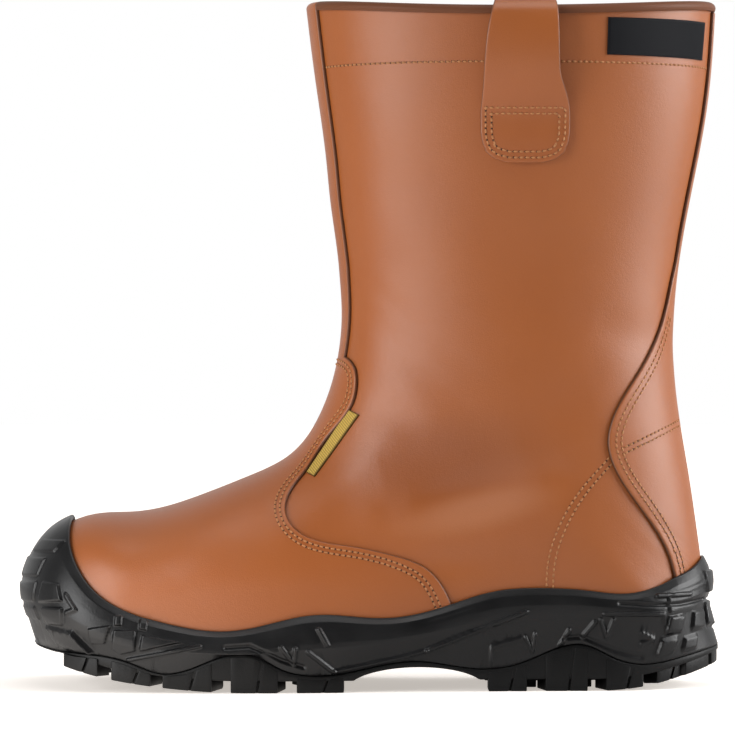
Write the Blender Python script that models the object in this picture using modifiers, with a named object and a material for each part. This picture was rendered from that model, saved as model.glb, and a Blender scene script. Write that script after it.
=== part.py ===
"""Left pull-on safety boot: a hollow leather upper on a moulded sole with a toe bumper.

The toe points along -X, the outer side of the foot faces -Y and +Z is up. The origin is on the
floor, under the middle of the boot. Tables and sizes are in millimetres, and meshes in metres.
"""

import math

import bmesh
import bpy
import numpy as np
from mathutils import Vector
from mathutils.bvhtree import BVHTree

MM = 0.001

COLUMNS = np.linspace(-1, 1, 25)   # lines of the upper's mesh round each section
SOLE_PAIRS = 36                    # pairs of points round the sole's outline
INSOLE_PAIRS = 18

# Thicknesses and clearances
WALL = 2.0             # leather and lining of the upper
OVERLAY = 1.4          # vamp, counter and strips, each sewn on top of the upper
SEAT = 0.5             # gap between an overlay and the upper under it
OVERLAY_FACE = SEAT + OVERLAY
FLOOR_GAP = 0.7        # gap between the upper's lower edge and the sole
PANEL_LIFT = 4.0       # how far above the sole's floor the vamp ends
PANEL_BOTTOM = 36.0    # height of the counter's lower edge
CUTTER_REACH = 90.0    # half the length of the outline prisms across the boot
CUP_GAP = 0.9          # gap between the sole's cup and the leather inside it
TOE_CUP_GAP = 0.6      # more room inside the toe bumper
LAYER_GAP = 0.3        # gap between flat or parallel layers
INSOLE = 5.0
LUG_DEPTH = 5.0
SOLE_FLOOR = 4.0       # least thickness of the sole under the foot
PLATE_LEAST = 1.0      # least thickness of the outsole
WELD = 0.02            # points closer than this are one
SLIVER = 0.005         # edges shorter than this are removed
SMOOTH_UNDER = 40.0    # edges that turn by fewer degrees are shaded smooth

# Heights and ends of the boot
COLLAR_Z = 289.4       # the collar's rim at the sides
COLLAR_RISE = 5.2      # how much higher it is at the front and the back
FOOT_TOE_X = -145.0
FOOT_HEEL_X = 142.6
FLAT_TOE_X = -52.0     # the sole is flat on the floor from here
FLAT_HEEL_X = 100.0    # to here, apart from the arch

# The upper's sections from toe to collar. Each lies in a plane across the boot, from its front or
# top point to its back or bottom point. Half-widths are measured from the centre.
LAST = (
    # name, front x, front z, back x, back z, centre y, outer, inner, belly, squareness
    ("toe_edge", -144.5, 28.0, -96.0, 19.0, 7.0, 48.5, 40.0, 0.93, 2.25),
    ("toe_wall", -147.0, 38.0, -96.0, 18.9, 7.0, 49.0, 40.5, 0.92, 2.25),
    ("toe_front", -144.4, 52.0, -95.6, 18.8, 7.0, 49.4, 41.0, 0.90, 2.25),
    ("toe_crown", -136.5, 64.0, -95.0, 18.6, 7.0, 49.8, 41.4, 0.87, 2.2),
    ("toe_top", -124.0, 71.2, -93.5, 18.4, 6.8, 50.2, 41.8, 0.78, 2.2),
    ("toe_back", -104.0, 73.3, -87.0, 18.0, 6.2, 51.0, 42.6, 0.70, 2.2),
    ("vamp", -77.0, 79.2, -69.0, 17.2, 5.0, 52.0, 43.4, 0.67, 2.15),
    ("ball", -52.0, 89.0, -44.0, 16.5, 3.5, 51.6, 42.8, 0.68, 2.05),
    ("instep_low", -35.0, 97.3, -18.0, 18.0, 2.0, 48.6, 40.2, 0.70, 1.95),
    ("instep", -23.5, 109.5, 12.0, 22.0, 0.8, 45.0, 38.6, 0.74, 1.95),
    ("instep_high", -15.8, 125.5, 44.0, 26.5, 0.2, 43.2, 39.6, 0.66, 2.0),
    ("throat", -11.3, 142.5, 76.0, 29.5, 0.0, 43.0, 41.6, 0.58, 2.0),
    ("ankle", -9.6, 158.0, 106.0, 30.0, 0.0, 43.4, 42.8, 0.52, 2.0),
    ("heel_base", -9.7, 169.0, 130.0, 30.8, 0.0, 43.6, 43.2, 0.50, 2.0),
    ("heel_back", -10.3, 178.0, 142.6, 41.0, 0.0, 43.6, 43.4, 0.49, 2.0),
    ("heel_swell", -11.2, 187.0, 143.0, 60.0, 0.0, 43.7, 43.6, 0.48, 2.0),
    ("heel_top", -12.8, 199.0, 138.8, 89.0, 0.0, 44.0, 44.0, 0.48, 2.0),
    ("tendon", -14.7, 213.0, 132.6, 130.0, 0.0, 45.2, 45.2, 0.48, 2.0),
    ("calf_low", -16.3, 229.0, 132.6, 170.0, 0.0, 47.2, 47.2, 0.49, 2.05),
    ("calf", -18.8, 248.0, 138.7, 210.0, 0.0, 50.4, 50.4, 0.49, 2.1),
    ("calf_high", -21.7, 268.0, 146.2, 250.0, 0.0, 53.6, 53.6, 0.50, 2.1),
    ("collar", -25.0, COLLAR_Z + COLLAR_RISE, 150.0, COLLAR_Z + COLLAR_RISE, 0.0, 56.5, 56.5, 0.50, 2.1),
)
CLOSED_FROM = "heel_back"   # from this section on, the upper closes round the back
DIPS_FROM = "calf_high"     # from this section on, the sides dip towards the collar's rim

# Plan of the upper's lower edge, before its ends are rounded
FOOT_EDGE = (
    # x, outer y, inner y
    (-145.0, -43.0, 45.0),
    (-100.0, -43.5, 45.5),
    (-70.0, -46.0, 46.0),
    (-45.0, -47.0, 44.2),
    (-15.0, -44.5, 38.5),
    (20.0, -39.5, 32.0),
    (55.0, -35.5, 30.0),
    (90.0, -33.5, 31.5),
    (143.0, -33.0, 33.0),
)
TOE_ROUND = (-88.0, FOOT_TOE_X, 7.0, 2.25)     # start x, end x, end y, squareness
HEEL_ROUND = (96.0, FOOT_HEEL_X, 0.0, 2.2)

# Side view of the panel edges and of the sole's lines
VAMP_EDGE = (
    # x, z
    (-14.5, 144.6), (-7.0, 141.0), (-4.6, 132.0), (-7.4, 120.6), (-16.0, 107.0), (-26.0, 93.0),
    (-33.4, 83.4), (-35.0, 77.0), (-32.4, 70.2), (-22.0, 64.2), (-7.0, 61.8), (12.0, 57.8),
    (25.0, 52.6), (33.0, 43.0), (36.2, 35.0), (37.0, 30.5),
)
VAMP_FRONT = ((-165.0, 30.0), (-165.0, 90.0), (-40.0, 144.6))   # corners clear of the toe
VAMP_EDGE_POINTS = 34
VAMP_FOOT_POINTS = 12
VAMP_TURN = 0.965       # share of the turn at which the vamp ends inside the sole
COUNTER_EDGE = (
    # x, z
    (139.0, 205.0), (131.0, 176.0), (124.4, 151.5), (112.0, 130.0), (103.4, 113.0), (102.4, 105.0),
    (105.2, 95.0), (116.5, 77.5), (125.6, 64.5), (130.2, 54.0), (133.0, 40.0), (135.0, 25.0),
)
COUNTER_EDGE_POINTS = 26
COUNTER_BACK_X = 175.0  # clear of the heel
COUNTER_TURN = 0.6      # share of the turn from which the counter's surface is made
SOLE_RIM = (
    # x, z of the edge where the leather meets the sole
    (-128.4, 76.0), (-127.8, 66.0), (-125.8, 56.5), (-120.4, 46.0), (-112.0, 38.0), (-93.0, 30.6),
    (-70.0, 25.8), (-58.0, 25.4), (-40.0, 29.2), (-21.0, 32.6), (0.0, 31.0), (16.0, 31.6),
    (34.0, 36.0), (54.0, 42.2), (76.0, 43.4), (98.0, 41.9), (113.0, 40.4), (126.0, 44.8),
    (138.0, 49.8), (148.0, 57.6), (156.0, 60.0),
)
TREAD_LINE = (
    # x, z of the wavy line between midsole and outsole
    (-150.0, 20.0), (-134.0, 17.0), (-112.0, 15.4), (-101.0, 12.8), (-86.0, 8.2), (-78.0, 9.4),
    (-60.0, 16.2), (-50.0, 16.8), (-36.0, 10.0), (-26.0, 7.6), (-10.0, 8.4), (20.0, 13.2),
    (48.0, 9.8), (66.0, 12.4), (84.0, 19.4), (92.0, 20.0), (106.0, 14.0), (118.0, 11.4),
    (134.0, 13.8), (152.0, 18.0),
)
GROUND = (
    # x, z under the lugs; the arch is above the floor without lugs
    (-150.0, 21.0), (-138.0, 13.6), (-124.0, 8.6), (-109.0, 5.2), (-90.0, 2.4), (-70.0, 0.6),
    (FLAT_TOE_X, 0.0), (0.0, 0.0), (50.0, 0.0), (FLAT_HEEL_X, 0.0), (118.0, 1.6), (134.0, 5.2),
    (152.0, 10.6),
)
ARCH = (-8.0, 50.0, 10.4)          # from x, to x, height of its underside above the floor
ARCH_ROUND = 0.35                  # power of its rise: the smaller, the flatter its top

# Wall of the sole: how far it stands out from the leather, by height from its foot to its rim
SOLE_WALL = (
    # share of height, stand-out at the sides, stand-out at the toe
    (0.0, 6.2, 0.0),
    (0.17, 6.2, 1.4),
    (0.34, 5.8, 2.4),
    (0.6, 4.8, 2.6),
    (0.84, 3.4, 2.6),
    (1.0, 1.5, 2.0),
)
HEEL_FLARE = 4.0                   # how far the outsole runs out behind the heel
TOE_FROM_X = -92.0                 # the toe's wall begins here
TOE_BLEND = 45.0                   # and is fully formed this much further on
SPINE_TOE = 34.0                   # the middle line stops this far from the toe
SPINE_HEEL = 30.0                  # and this far from the heel
UNDER_EDGE = 0.5                   # the sole's base is flat to this far outside the foot's edge
OUTLINE_STEPS = 400
NORMAL_STEP = 0.06                 # turn over which the outline's direction is measured

# Raised pads on the sole's side, on the outer and the inner side alike
PAD_RISE = 1.4
PAD_DEPTH = 4.0
PAD_TAPER = 0.86        # size of a pad's face against its foot
SIDE_PADS = (
    # x, z, length, height, slant in degrees
    (-97.0, 23.0, 10.0, 9.0, -6.0),
    (-74.0, 18.0, 16.0, 4.4, 22.0),
    (-22.0, 19.0, 15.0, 4.4, -32.0),
    (50.0, 29.0, 28.0, 4.0, 24.0),
    (88.0, 31.0, 14.0, 4.4, 35.0),
    (112.0, 29.0, 9.0, 13.0, 14.0),
)
# Pads round the toe bumper and the heel, by direction from the middle of the toe or heel
END_PADS = (
    # middle x, middle y, direction in degrees from the boot's length, z, length, height
    (-107.0, 7.0, 0.0, 54.0, 13.0, 7.0),
    (-107.0, 7.0, 0.0, 40.0, 13.0, 11.0),
    (-107.0, 7.0, 33.0, 52.0, 13.0, 7.0),
    (-107.0, 7.0, 33.0, 38.0, 13.0, 11.0),
    (112.0, 0.0, 180.0, 34.0, 15.0, 12.0),
    (112.0, 0.0, 138.0, 30.0, 12.0, 12.0),
)

# Lugs under the sole
LUG_INSET = 0.5
LUG_SINK = 0.6          # how far a lug runs up into the plate
LUG_TOE = 6.0           # lugs follow the outline as it is this far from the toe
LUG_HEEL = 4.0          # and this far from the heel
SIDE_LUGS = (
    # start x, end x, depth across the sole, how far back the inner end is swept
    (-130.0, -115.0, 20.0, 4.0),
    (-109.0, -92.0, 21.0, 4.0),
    (-87.0, -66.0, 22.0, 4.0),
    (-58.0, -38.0, 22.0, 3.0),
    (-30.0, -10.0, 20.0, 0.0),
    (51.6, 68.0, 16.0, 0.0),
    (76.0, 94.0, 17.0, -3.0),
    (102.0, 118.0, 17.0, -4.0),
    (124.0, 135.0, 14.0, -5.0),
)
CHEVRONS = (
    # tip x, length along the boot, half-width, how far back the arms are swept
    (-126.0, 10.0, 14.0, 5.0),
    (-105.0, 11.0, 20.0, 8.0),
    (-83.0, 12.0, 23.0, 9.0),
    (-58.0, 13.0, 23.0, 9.0),
    (-33.0, 13.0, 20.0, 8.0),
    (56.0, 12.0, 16.0, 5.0),
    (80.0, 12.0, 15.0, 5.0),
    (104.0, 12.0, 14.0, 5.0),
)

INSOLE_INSET = WALL + 1.4
INSOLE_SIDE = 0.7       # share of the insole's thickness below its bevelled edge
INSOLE_BEVEL = 3.0

# Collar binding and pull loops
RIM_LIFT = 0.7          # room over the upper's rim inside a fold
RIM_STEP = 5.0          # length of the last over which the rim's slope is measured
RIM_BENDS = 2
BINDING = 1.1
RIM_SEAT = 0.8          # gap between the binding and the upper
BINDING_DROP = 3.0
BINDING_GAP = 0.004     # share of the turn left open where the binding's halves meet at the back
BINDING_START = 1.5     # gap between the binding and the front strip
LINE_CLEAR = 0.02       # share of the turn kept between a piece's end and its first line
LOOP_X = 66.8
LOOP_THICKNESS = 1.7
LOOP_COLUMNS = 4
LOOP_PATH = (
    # z, half-width, height of the strap's outer face above the shaft
    (225.0, 7.0, 2.5),
    (226.4, 12.6, 2.5),
    (229.6, 16.6, 2.5),
    (235.0, 18.6, 2.5),
    (247.0, 18.8, 2.5),
    (251.0, 17.6, 3.6),
    (260.0, 14.2, 8.2),
    (270.0, 12.6, 10.6),
    (280.0, 12.3, 10.2),
    (287.0, 12.3, 8.6),
    (291.2, 12.3, 6.2),
    (293.6, 12.3, 2.6),
    (294.1, 12.3, -1.0),
    (293.4, 12.3, -5.0),
    (289.8, 12.3, -7.8),
    (284.0, 12.3, -8.4),
    (274.0, 12.3, -6.6),
    (262.0, 12.3, -4.9),
    (247.0, 12.3, -4.9),
)

# Label and tag on the outer side, each as four corners in side view
LABEL_CORNERS = ((101.6, 269.0), (143.0, 269.0), (144.8, 286.0), (101.6, 286.0))
TAG_CORNERS = ((-23.8, 91.4), (-19.4, 89.0), (-1.0, 116.2), (-5.4, 118.8))
PATCH = 0.8             # thickness of the label and the tag

# Strips over the front and back seams
BACK_STRIP_TOP = 290.4
BACK_STRIP_FROM = 150.0            # height from which the back strip's outline runs up
BACK_STRIP_BLOCK = (145.0, 90.0)   # middle x and length of the block that cuts it out
BACK_STRIP = 8.0                   # half-width of the counter's narrow upper part
FRONT_STRIP = (17.0, 11.5)         # half-width at the collar and at the vamp
STRIP_CLEAR = 2.0                  # gap between the vamp and the front strip's lower end
STRIP_STEP = 3.0                   # least length of its first stretch
STRIP_OUTSIDE = 6.0                # how far its fold runs down outside
STRIP_INSIDE = 9.0                 # and inside

LEATHER = ("leather", (0.46, 0.17, 0.055, 1.0), 0.45)
BINDING_LEATHER = ("binding_leather", (0.22, 0.10, 0.055, 1.0), 0.5)
MOULDED = ("moulded_polyurethane", (0.016, 0.016, 0.017, 1.0), 0.5)
TREAD = ("tread_rubber", (0.013, 0.013, 0.014, 1.0), 0.6)
FOOTBED = ("footbed_felt", (0.08, 0.08, 0.085, 1.0), 0.95)
BLACK_SATIN = ("black_satin", (0.02, 0.022, 0.03, 1.0), 0.55)
GOLD_WEAVE = ("gold_weave", (0.62, 0.47, 0.13, 1.0), 0.7)


# Curves through tables

def smooth(knots, values):
    """Function of position along the natural cubic spline through a table's rows."""
    knots = np.asarray(knots, float)
    values = np.asarray(values, float).reshape(len(knots), -1)
    count = len(knots)
    gap = np.diff(knots)
    matrix = np.eye(count)
    right = np.zeros_like(values)
    for i in range(1, count - 1):
        matrix[i, i - 1:i + 2] = gap[i - 1], 2 * (gap[i - 1] + gap[i]), gap[i]
        right[i] = 6 * ((values[i + 1] - values[i]) / gap[i] - (values[i] - values[i - 1]) / gap[i - 1])
    bend = np.linalg.solve(matrix, right)

    def at(position):
        position = np.clip(np.atleast_1d(np.asarray(position, float)), knots[0], knots[-1])
        i = np.clip(np.searchsorted(knots, position) - 1, 0, count - 2)
        h = gap[i][:, None]
        a = (knots[i + 1] - position)[:, None] / h
        b = 1 - a
        curve = (a ** 3 - a) * bend[i] + (b ** 3 - b) * bend[i + 1]
        return a * values[i] + b * values[i + 1] + curve * h ** 2 / 6

    return at


def dense_line(points, count=240):
    """Many points along the smooth curve through a short list of points."""
    points = np.asarray(points, float)
    along = np.concatenate([[0], np.cumsum(np.linalg.norm(np.diff(points, axis=0), axis=1))])
    return smooth(along, points)(np.linspace(0, along[-1], count))


def height_table(rows):
    """Function z of x for a side-view line."""
    line = dense_line(rows)
    return lambda x: np.interp(x, line[:, 0], line[:, 1])


rim_height = height_table(SOLE_RIM)
tread_height = height_table(TREAD_LINE)
ground_line = height_table(GROUND)


def ground_height(x):
    """Height of the lugs' lower faces above the floor."""
    return np.maximum(ground_line(x), 0.0)


def arch_lift(x):
    """How far the underside of the waist is above the floor."""
    start, end, height = ARCH
    share = np.clip((np.asarray(x, float) - start) / (end - start), 0, 1)
    return height * np.sin(math.pi * share) ** ARCH_ROUND


# Upper

LAST_NAMES = [row[0] for row in LAST]
LAST_VALUES = np.array([row[1:] for row in LAST], float)
LAST_STEPS = np.linalg.norm(np.diff(LAST_VALUES[:, 0:2], axis=0), axis=1)
LAST_STEPS += np.linalg.norm(np.diff(LAST_VALUES[:, 2:4], axis=0), axis=1)
LAST_KNOTS = np.concatenate([[0], np.cumsum(LAST_STEPS)])
last_row = smooth(LAST_KNOTS, LAST_VALUES)
edge_row = smooth([row[0] for row in FOOT_EDGE], [row[1:] for row in FOOT_EDGE])


def station(name):
    """Distance along the last of a named section."""
    return LAST_KNOTS[LAST_NAMES.index(name)]


def rounded_end(x, start, end, squareness):
    """Share of the width that is left where an end of the foot is rounded."""
    share = np.clip((x - start) / (end - start), 0, 1)
    return (1 - share ** squareness) ** (1 / squareness)


def foot_edge(x):
    """Outer and inner y of the upper's lower edge at x."""
    x = np.atleast_1d(np.asarray(x, float))
    outer, inner = edge_row(x).T
    for start, end, end_y, squareness in (TOE_ROUND, HEEL_ROUND):
        share = rounded_end(x, start, end, squareness)
        outer = end_y + (outer - end_y) * share
        inner = end_y + (inner - end_y) * share
    return outer, inner


def last_point(along, around):
    """Point on the upper's outer face, in mm.

    along runs from the toe edge to the collar. around is 0 on the front line, -1 at the lower edge
    or the back line on the outer side of the foot, and 1 there on the inner side.
    """
    along, around = np.broadcast_arrays(np.asarray(along, float), np.asarray(around, float))
    shape = along.shape
    along, around = along.ravel(), around.ravel()
    row = last_row(along)
    front, back, centre = row[:, 0:2], row[:, 2:4], row[:, 4]
    belly, square = row[:, 7], row[:, 8]
    outer_edge, inner_edge = foot_edge(back[:, 0])
    outside = around < 0
    width = np.where(outside, row[:, 5], row[:, 6])
    foot = np.where(outside, centre - outer_edge, inner_edge - centre)
    foot = np.where(along >= station(CLOSED_FROM), 0.0, np.clip(foot, 0, width))
    turn = np.abs(around)
    upper_turn = np.clip(turn, 0, 0.5) * math.pi
    lower_turn = np.clip(turn - 0.5, 0, 0.5) * math.pi
    power = 2 / square
    share_up = belly * (1 - np.cos(upper_turn).clip(0) ** power)
    share_down = belly + (1 - belly) * np.sin(lower_turn)
    y_up = width * np.sin(upper_turn) ** power
    y_down = foot + (width - foot) * np.cos(lower_turn).clip(0)
    share = np.where(turn < 0.5, share_up, share_down)
    y = np.where(turn < 0.5, y_up, y_down)
    spot = front + (back - front) * share[:, None]
    y = centre + np.where(outside, -y, y)
    dips_from = station(DIPS_FROM)
    near_rim = np.clip((along - dips_from) / (LAST_KNOTS[-1] - dips_from), 0, 1) ** 2
    z = spot[:, 1] - COLLAR_RISE * near_rim * np.sin(math.pi * turn) ** 2
    return np.stack([spot[:, 0], y, z], axis=1).reshape(*shape, 3)


def face_normal(along, around):
    """Outward unit normal of the upper's face."""
    step_along, step_around = 0.6, 0.003
    along = np.clip(along, step_along, LAST_KNOTS[-1] - step_along)
    d_along = last_point(along + step_along, around) - last_point(along - step_along, around)
    d_around = last_point(along, around + step_around) - last_point(along, around - step_around)
    normal = np.cross(d_along, d_around)
    on_back_line = (np.abs(around) > 0.999) & (along >= station(CLOSED_FROM))
    normal[..., 1] = np.where(on_back_line, 0.0, normal[..., 1])
    return normal / np.linalg.norm(normal, axis=-1, keepdims=True).clip(1e-9)


def raised_point(along, around, height):
    """Point at a height above the upper's face."""
    return last_point(along, around) + face_normal(along, around) * height


FLOOR_LINE = np.concatenate([
    [(-145.0, 27.6), (-96.0, 18.7)],
    last_row(np.linspace(station("toe_back"), station("heel_base"), 60))[:, 2:4],
    [(143.0, 31.2)],
])


def floor_height(x):
    """Height of the floor inside the sole's cup."""
    return np.interp(x, FLOOR_LINE[:, 0], FLOOR_LINE[:, 1]) - FLOOR_GAP


# Meshes and objects

def material_of(finish):
    name, colour, roughness = finish
    found = bpy.data.materials.get(name)
    if found:
        return found
    made = bpy.data.materials.new(name)
    made.use_nodes = True
    made.diffuse_color = colour
    shader = made.node_tree.nodes["Principled BSDF"]
    shader.inputs["Base Color"].default_value = colour
    shader.inputs["Roughness"].default_value = roughness
    shader.inputs["Metallic"].default_value = 0.0
    return made


def add_object(name, mesh, finish, collection, parent=None):
    piece = bpy.data.objects.new(name, mesh)
    if finish:
        mesh.materials.append(material_of(finish))
        mesh.shade_smooth()
        mesh.set_sharp_from_angle(angle=math.radians(SMOOTH_UNDER))
    collection.objects.link(piece)
    piece.parent = parent
    return piece


def grid_mesh(name, grid, closed_rows=False, closed_columns=False, cap_ends=False, flip=False,
              split=False):
    """Loft through the rows of a grid of points in mm. Points that coincide are merged."""
    rows, columns = grid.shape[:2]
    shape = bmesh.new()
    corners = [[shape.verts.new(point) for point in row] for row in grid * MM]
    for i in range(rows if closed_rows else rows - 1):
        for j in range(columns if closed_columns else columns - 1):
            ring = (corners[i][j], corners[(i + 1) % rows][j],
                    corners[(i + 1) % rows][(j + 1) % columns], corners[i][(j + 1) % columns])
            pieces = (ring[:3], (ring[0], ring[2], ring[3])) if split else (ring,)
            for piece in pieces:
                shape.faces.new(piece[::-1] if flip else piece)
    if cap_ends:
        shape.faces.new(corners[0] if not flip else corners[0][::-1])
        shape.faces.new(corners[-1][::-1] if not flip else corners[-1])
    bmesh.ops.remove_doubles(shape, verts=shape.verts, dist=WELD * MM)
    bmesh.ops.dissolve_degenerate(shape, edges=shape.edges, dist=SLIVER * MM)
    mesh = bpy.data.meshes.new(name)
    shape.to_mesh(mesh)
    shape.free()
    return mesh


def thicken(piece, thickness):
    """Gives an open surface its wall, inwards from its face."""
    wall = piece.modifiers.new("wall", "SOLIDIFY")
    wall.thickness = thickness * MM
    wall.offset = -1
    wall.use_quality_normals = True


def join_all(piece, others):
    """Fuses other solids into a piece."""
    for other in others:
        fuse = piece.modifiers.new("fuse_" + other.name, "BOOLEAN")
        fuse.operation = "UNION"
        fuse.object = other


def eased(start, end, count):
    """Positions that crowd together towards the end."""
    return start + (end - start) * np.sin(np.linspace(0, math.pi / 2, count))


def upper_stations():
    """Positions along the last, closer together where the toe and heel are round."""
    closing = station(CLOSED_FROM)
    return np.concatenate([
        np.linspace(0, station("toe_top"), 8)[:-1],
        np.linspace(station("toe_top"), station("instep_low"), 7)[:-1],
        np.linspace(station("instep_low"), station("ankle"), 7)[:-1],
        eased(station("ankle"), closing, 6)[:-1],
        np.linspace(closing, LAST_KNOTS[-1], 8),
    ])


def make_upper(collection, parent):
    """The hollow upper, open at the collar and underneath."""
    along, around = np.meshgrid(upper_stations(), COLUMNS, indexing="ij")
    mesh = grid_mesh("upper", last_point(along, around), split=True)
    upper = add_object("upper", mesh, LEATHER, collection, parent)
    thicken(upper, WALL)
    return upper


def make_cutter(name, outline, cutters):
    """Prism right through the boot, from an outline in side view."""
    outline = np.asarray(outline, float)
    ends = [np.insert(outline, 1, y, axis=1) for y in (-CUTTER_REACH, CUTTER_REACH)]
    mesh = grid_mesh(name, np.array(ends), closed_columns=True, cap_ends=True)
    shape = bmesh.new()
    shape.from_mesh(mesh)
    bmesh.ops.recalc_face_normals(shape, faces=shape.faces)
    shape.to_mesh(mesh)
    shape.free()
    return add_object(name, mesh, None, cutters)


def make_overlay(name, along, around, cutter, collection, parent):
    """Panel on top of the upper: a raised copy of part of its surface, cut to an outline."""
    along, around = np.meshgrid(along, around, indexing="ij")
    mesh = grid_mesh(name, raised_point(along, around, OVERLAY_FACE), split=True)
    panel = add_object(name, mesh, LEATHER, collection, parent)
    thicken(panel, OVERLAY)
    cut = panel.modifiers.new("outline", "BOOLEAN")
    cut.operation = "INTERSECT"
    cut.object = cutter
    return panel


def make_vamp(collection, parent, cutters):
    """The front panel, lapped over the shaft and running down into the sole."""
    edge = dense_line(VAMP_EDGE, VAMP_EDGE_POINTS)
    bottom_x = np.linspace(edge[-1, 0], FOOT_TOE_X, VAMP_FOOT_POINTS)
    bottom = np.stack([bottom_x, floor_height(bottom_x) + PANEL_LIFT], 1)
    cutter = make_cutter("vamp_outline", np.concatenate([edge, bottom, VAMP_FRONT]), cutters)
    along = upper_stations()
    along = along[along < station("heel_base")]
    around = np.concatenate([[-VAMP_TURN], COLUMNS[1:-1], [VAMP_TURN]])
    return make_overlay("vamp", along, around, cutter, collection, parent)


def make_counter(collection, parent, cutters):
    """Heel counter with its narrow strip up the back seam."""
    edge = dense_line(COUNTER_EDGE, COUNTER_EDGE_POINTS)
    back = np.array([[COUNTER_BACK_X, PANEL_BOTTOM], [COUNTER_BACK_X, edge[0, 1]]])
    cutter = make_cutter("counter_outline", np.concatenate([edge, back]), cutters)
    strip = bpy.data.meshes.new("back_strip_outline")
    shape = bmesh.new()
    bmesh.ops.create_cube(shape, size=1.0)
    middle_x, length = BACK_STRIP_BLOCK
    size = np.array([length, 2 * BACK_STRIP, BACK_STRIP_TOP - BACK_STRIP_FROM])
    bmesh.ops.scale(shape, vec=size * MM, verts=shape.verts)
    middle = np.array([middle_x, 0.0, (BACK_STRIP_TOP + BACK_STRIP_FROM) / 2])
    bmesh.ops.translate(shape, vec=middle * MM, verts=shape.verts)
    shape.to_mesh(strip)
    shape.free()
    join_all(cutter, [add_object("back_strip_outline", strip, None, cutters)])
    along = upper_stations()
    along = along[along >= station(CLOSED_FROM) - 0.01]
    around = np.concatenate([COLUMNS[COLUMNS > COUNTER_TURN], COLUMNS[COLUMNS < -COUNTER_TURN][1:]])
    return make_overlay("heel_counter", along, around, cutter, collection, parent)


def make_front_strip(collection, parent):
    """Strip over the seam at the front of the shaft, from the vamp up and over the collar."""
    along = upper_stations()
    lowest = np.interp(VAMP_EDGE[0][1] + STRIP_CLEAR, last_row(along)[:, 1], along)
    along = np.concatenate([[lowest], along[along > lowest + STRIP_STEP][:-1]])
    half_width = np.interp(along, [along[0], LAST_KNOTS[-1]], FRONT_STRIP[::-1])
    limit = np.arcsin(half_width / last_row(along)[:, 5]) / math.pi
    top_limit = math.asin(FRONT_STRIP[0] / LAST[-1][6]) / math.pi
    lines = []
    inner_columns = COLUMNS[np.abs(COLUMNS) < limit.max() - LINE_CLEAR / 2]
    for column in [-1.0, *inner_columns, 1.0]:
        around = np.clip(column, -limit, limit)
        side = raised_point(along, around, OVERLAY_FACE)
        top = float(np.clip(column, -top_limit, top_limit))
        fold = rim_fold(top, OVERLAY_FACE, STRIP_OUTSIDE, STRIP_INSIDE)
        lines.append(np.concatenate([side, fold]))
    mesh = grid_mesh("front_strip", np.array(lines), flip=True)
    strip = add_object("front_strip", mesh, LEATHER, collection, parent)
    thicken(strip, OVERLAY)
    return strip


# Sole

def foot_outline(pairs):
    """Points round the upper's lower edge, in pairs across the foot, and their outward normals.

    They run from the toe along the outer side to the heel, and back along the inner side.
    """
    turn = np.linspace(0, math.pi, OUTLINE_STEPS)
    middle, reach = (FOOT_TOE_X + FOOT_HEEL_X) / 2, (FOOT_HEEL_X - FOOT_TOE_X) / 2
    x = middle - reach * np.cos(turn)
    outer, inner = foot_edge(x)
    half_width = (inner - outer) / 2
    along = np.concatenate([[0], np.cumsum(np.hypot(np.diff(x), np.diff(half_width)))])
    turns = np.interp(np.linspace(0, along[-1], pairs + 1), along, turn)
    spots, normals = [], []
    for side, place in [(0, t) for t in turns] + [(1, t) for t in turns[-2:0:-1]]:
        width = (outer, inner)[side]
        spot = np.array([np.interp(place, turn, x), np.interp(place, turn, width)])
        ends = np.clip([place - NORMAL_STEP, place + NORMAL_STEP], 0, math.pi)
        way = np.array([np.ptp(np.interp(ends, turn, x)), np.diff(np.interp(ends, turn, width))[0]])
        normal = np.array([way[1], -way[0]]) if side == 0 else np.array([-way[1], way[0]])
        if place in (turns[0], turns[-1]):
            normal = np.array([-1.0 if place == turns[0] else 1.0, 0.0])
        spots.append(spot)
        normals.append(normal / np.linalg.norm(normal))
    return np.array(spots), np.array(normals)


def tree_of(pieces):
    """Search tree of the shown faces of several pieces, in mm."""
    graph = bpy.context.evaluated_depsgraph_get()
    points, faces = [], []
    for piece in pieces:
        mesh = piece.evaluated_get(graph).to_mesh()
        first = len(points)
        points += [vertex.co / MM for vertex in mesh.vertices]
        faces += [[first + i for i in face.vertices] for face in mesh.polygons]
        piece.evaluated_get(graph).to_mesh_clear()
    return BVHTree.FromPolygons(points, faces)


class CupProfile:
    """Section of the sole's cup at one place round the foot, in the plane of its normal."""

    INSIDE = 38.0      # from the foot's edge in to the middle of the fan of rays
    RISE = 8.0         # from the floor up to that middle
    FAR = 120.0
    SEARCH = np.radians(np.arange(-8.0, 86.0, 0.5))

    def __init__(self, tree, spot, normal, floor_z):
        self.tree = tree
        self.middle = np.array([*(spot - normal * self.INSIDE), floor_z + self.RISE])
        self.normal = np.array([*normal, 0.0])

    def ray(self, angle):
        return self.normal * math.cos(angle) + np.array([0, 0, math.sin(angle)])

    def leather(self, angle):
        """Distance from the middle to the outside of the leather."""
        way = self.ray(angle)
        start = self.middle + way * self.FAR
        hit = self.tree.ray_cast(Vector(start), Vector(-way), self.FAR)[0]
        return np.nan if hit is None else float(np.linalg.norm(np.array(hit) - self.middle))

    def rim_angle(self):
        """Angle at which the leather comes out of the sole."""
        last = 0.0
        for angle in self.SEARCH:
            reach = self.leather(angle)
            if np.isnan(reach):
                continue
            hit = self.middle + self.ray(angle) * reach
            if hit[2] > rim_height(hit[0]):
                return last
            last = angle
        return last


def toe_share(spot, normal):
    """1 at the front of the toe, 0 along the sides and at the heel."""
    return max(-normal[0], 0.0) * float(np.clip((TOE_FROM_X - spot[0]) / TOE_BLEND, 0, 1))


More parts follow.
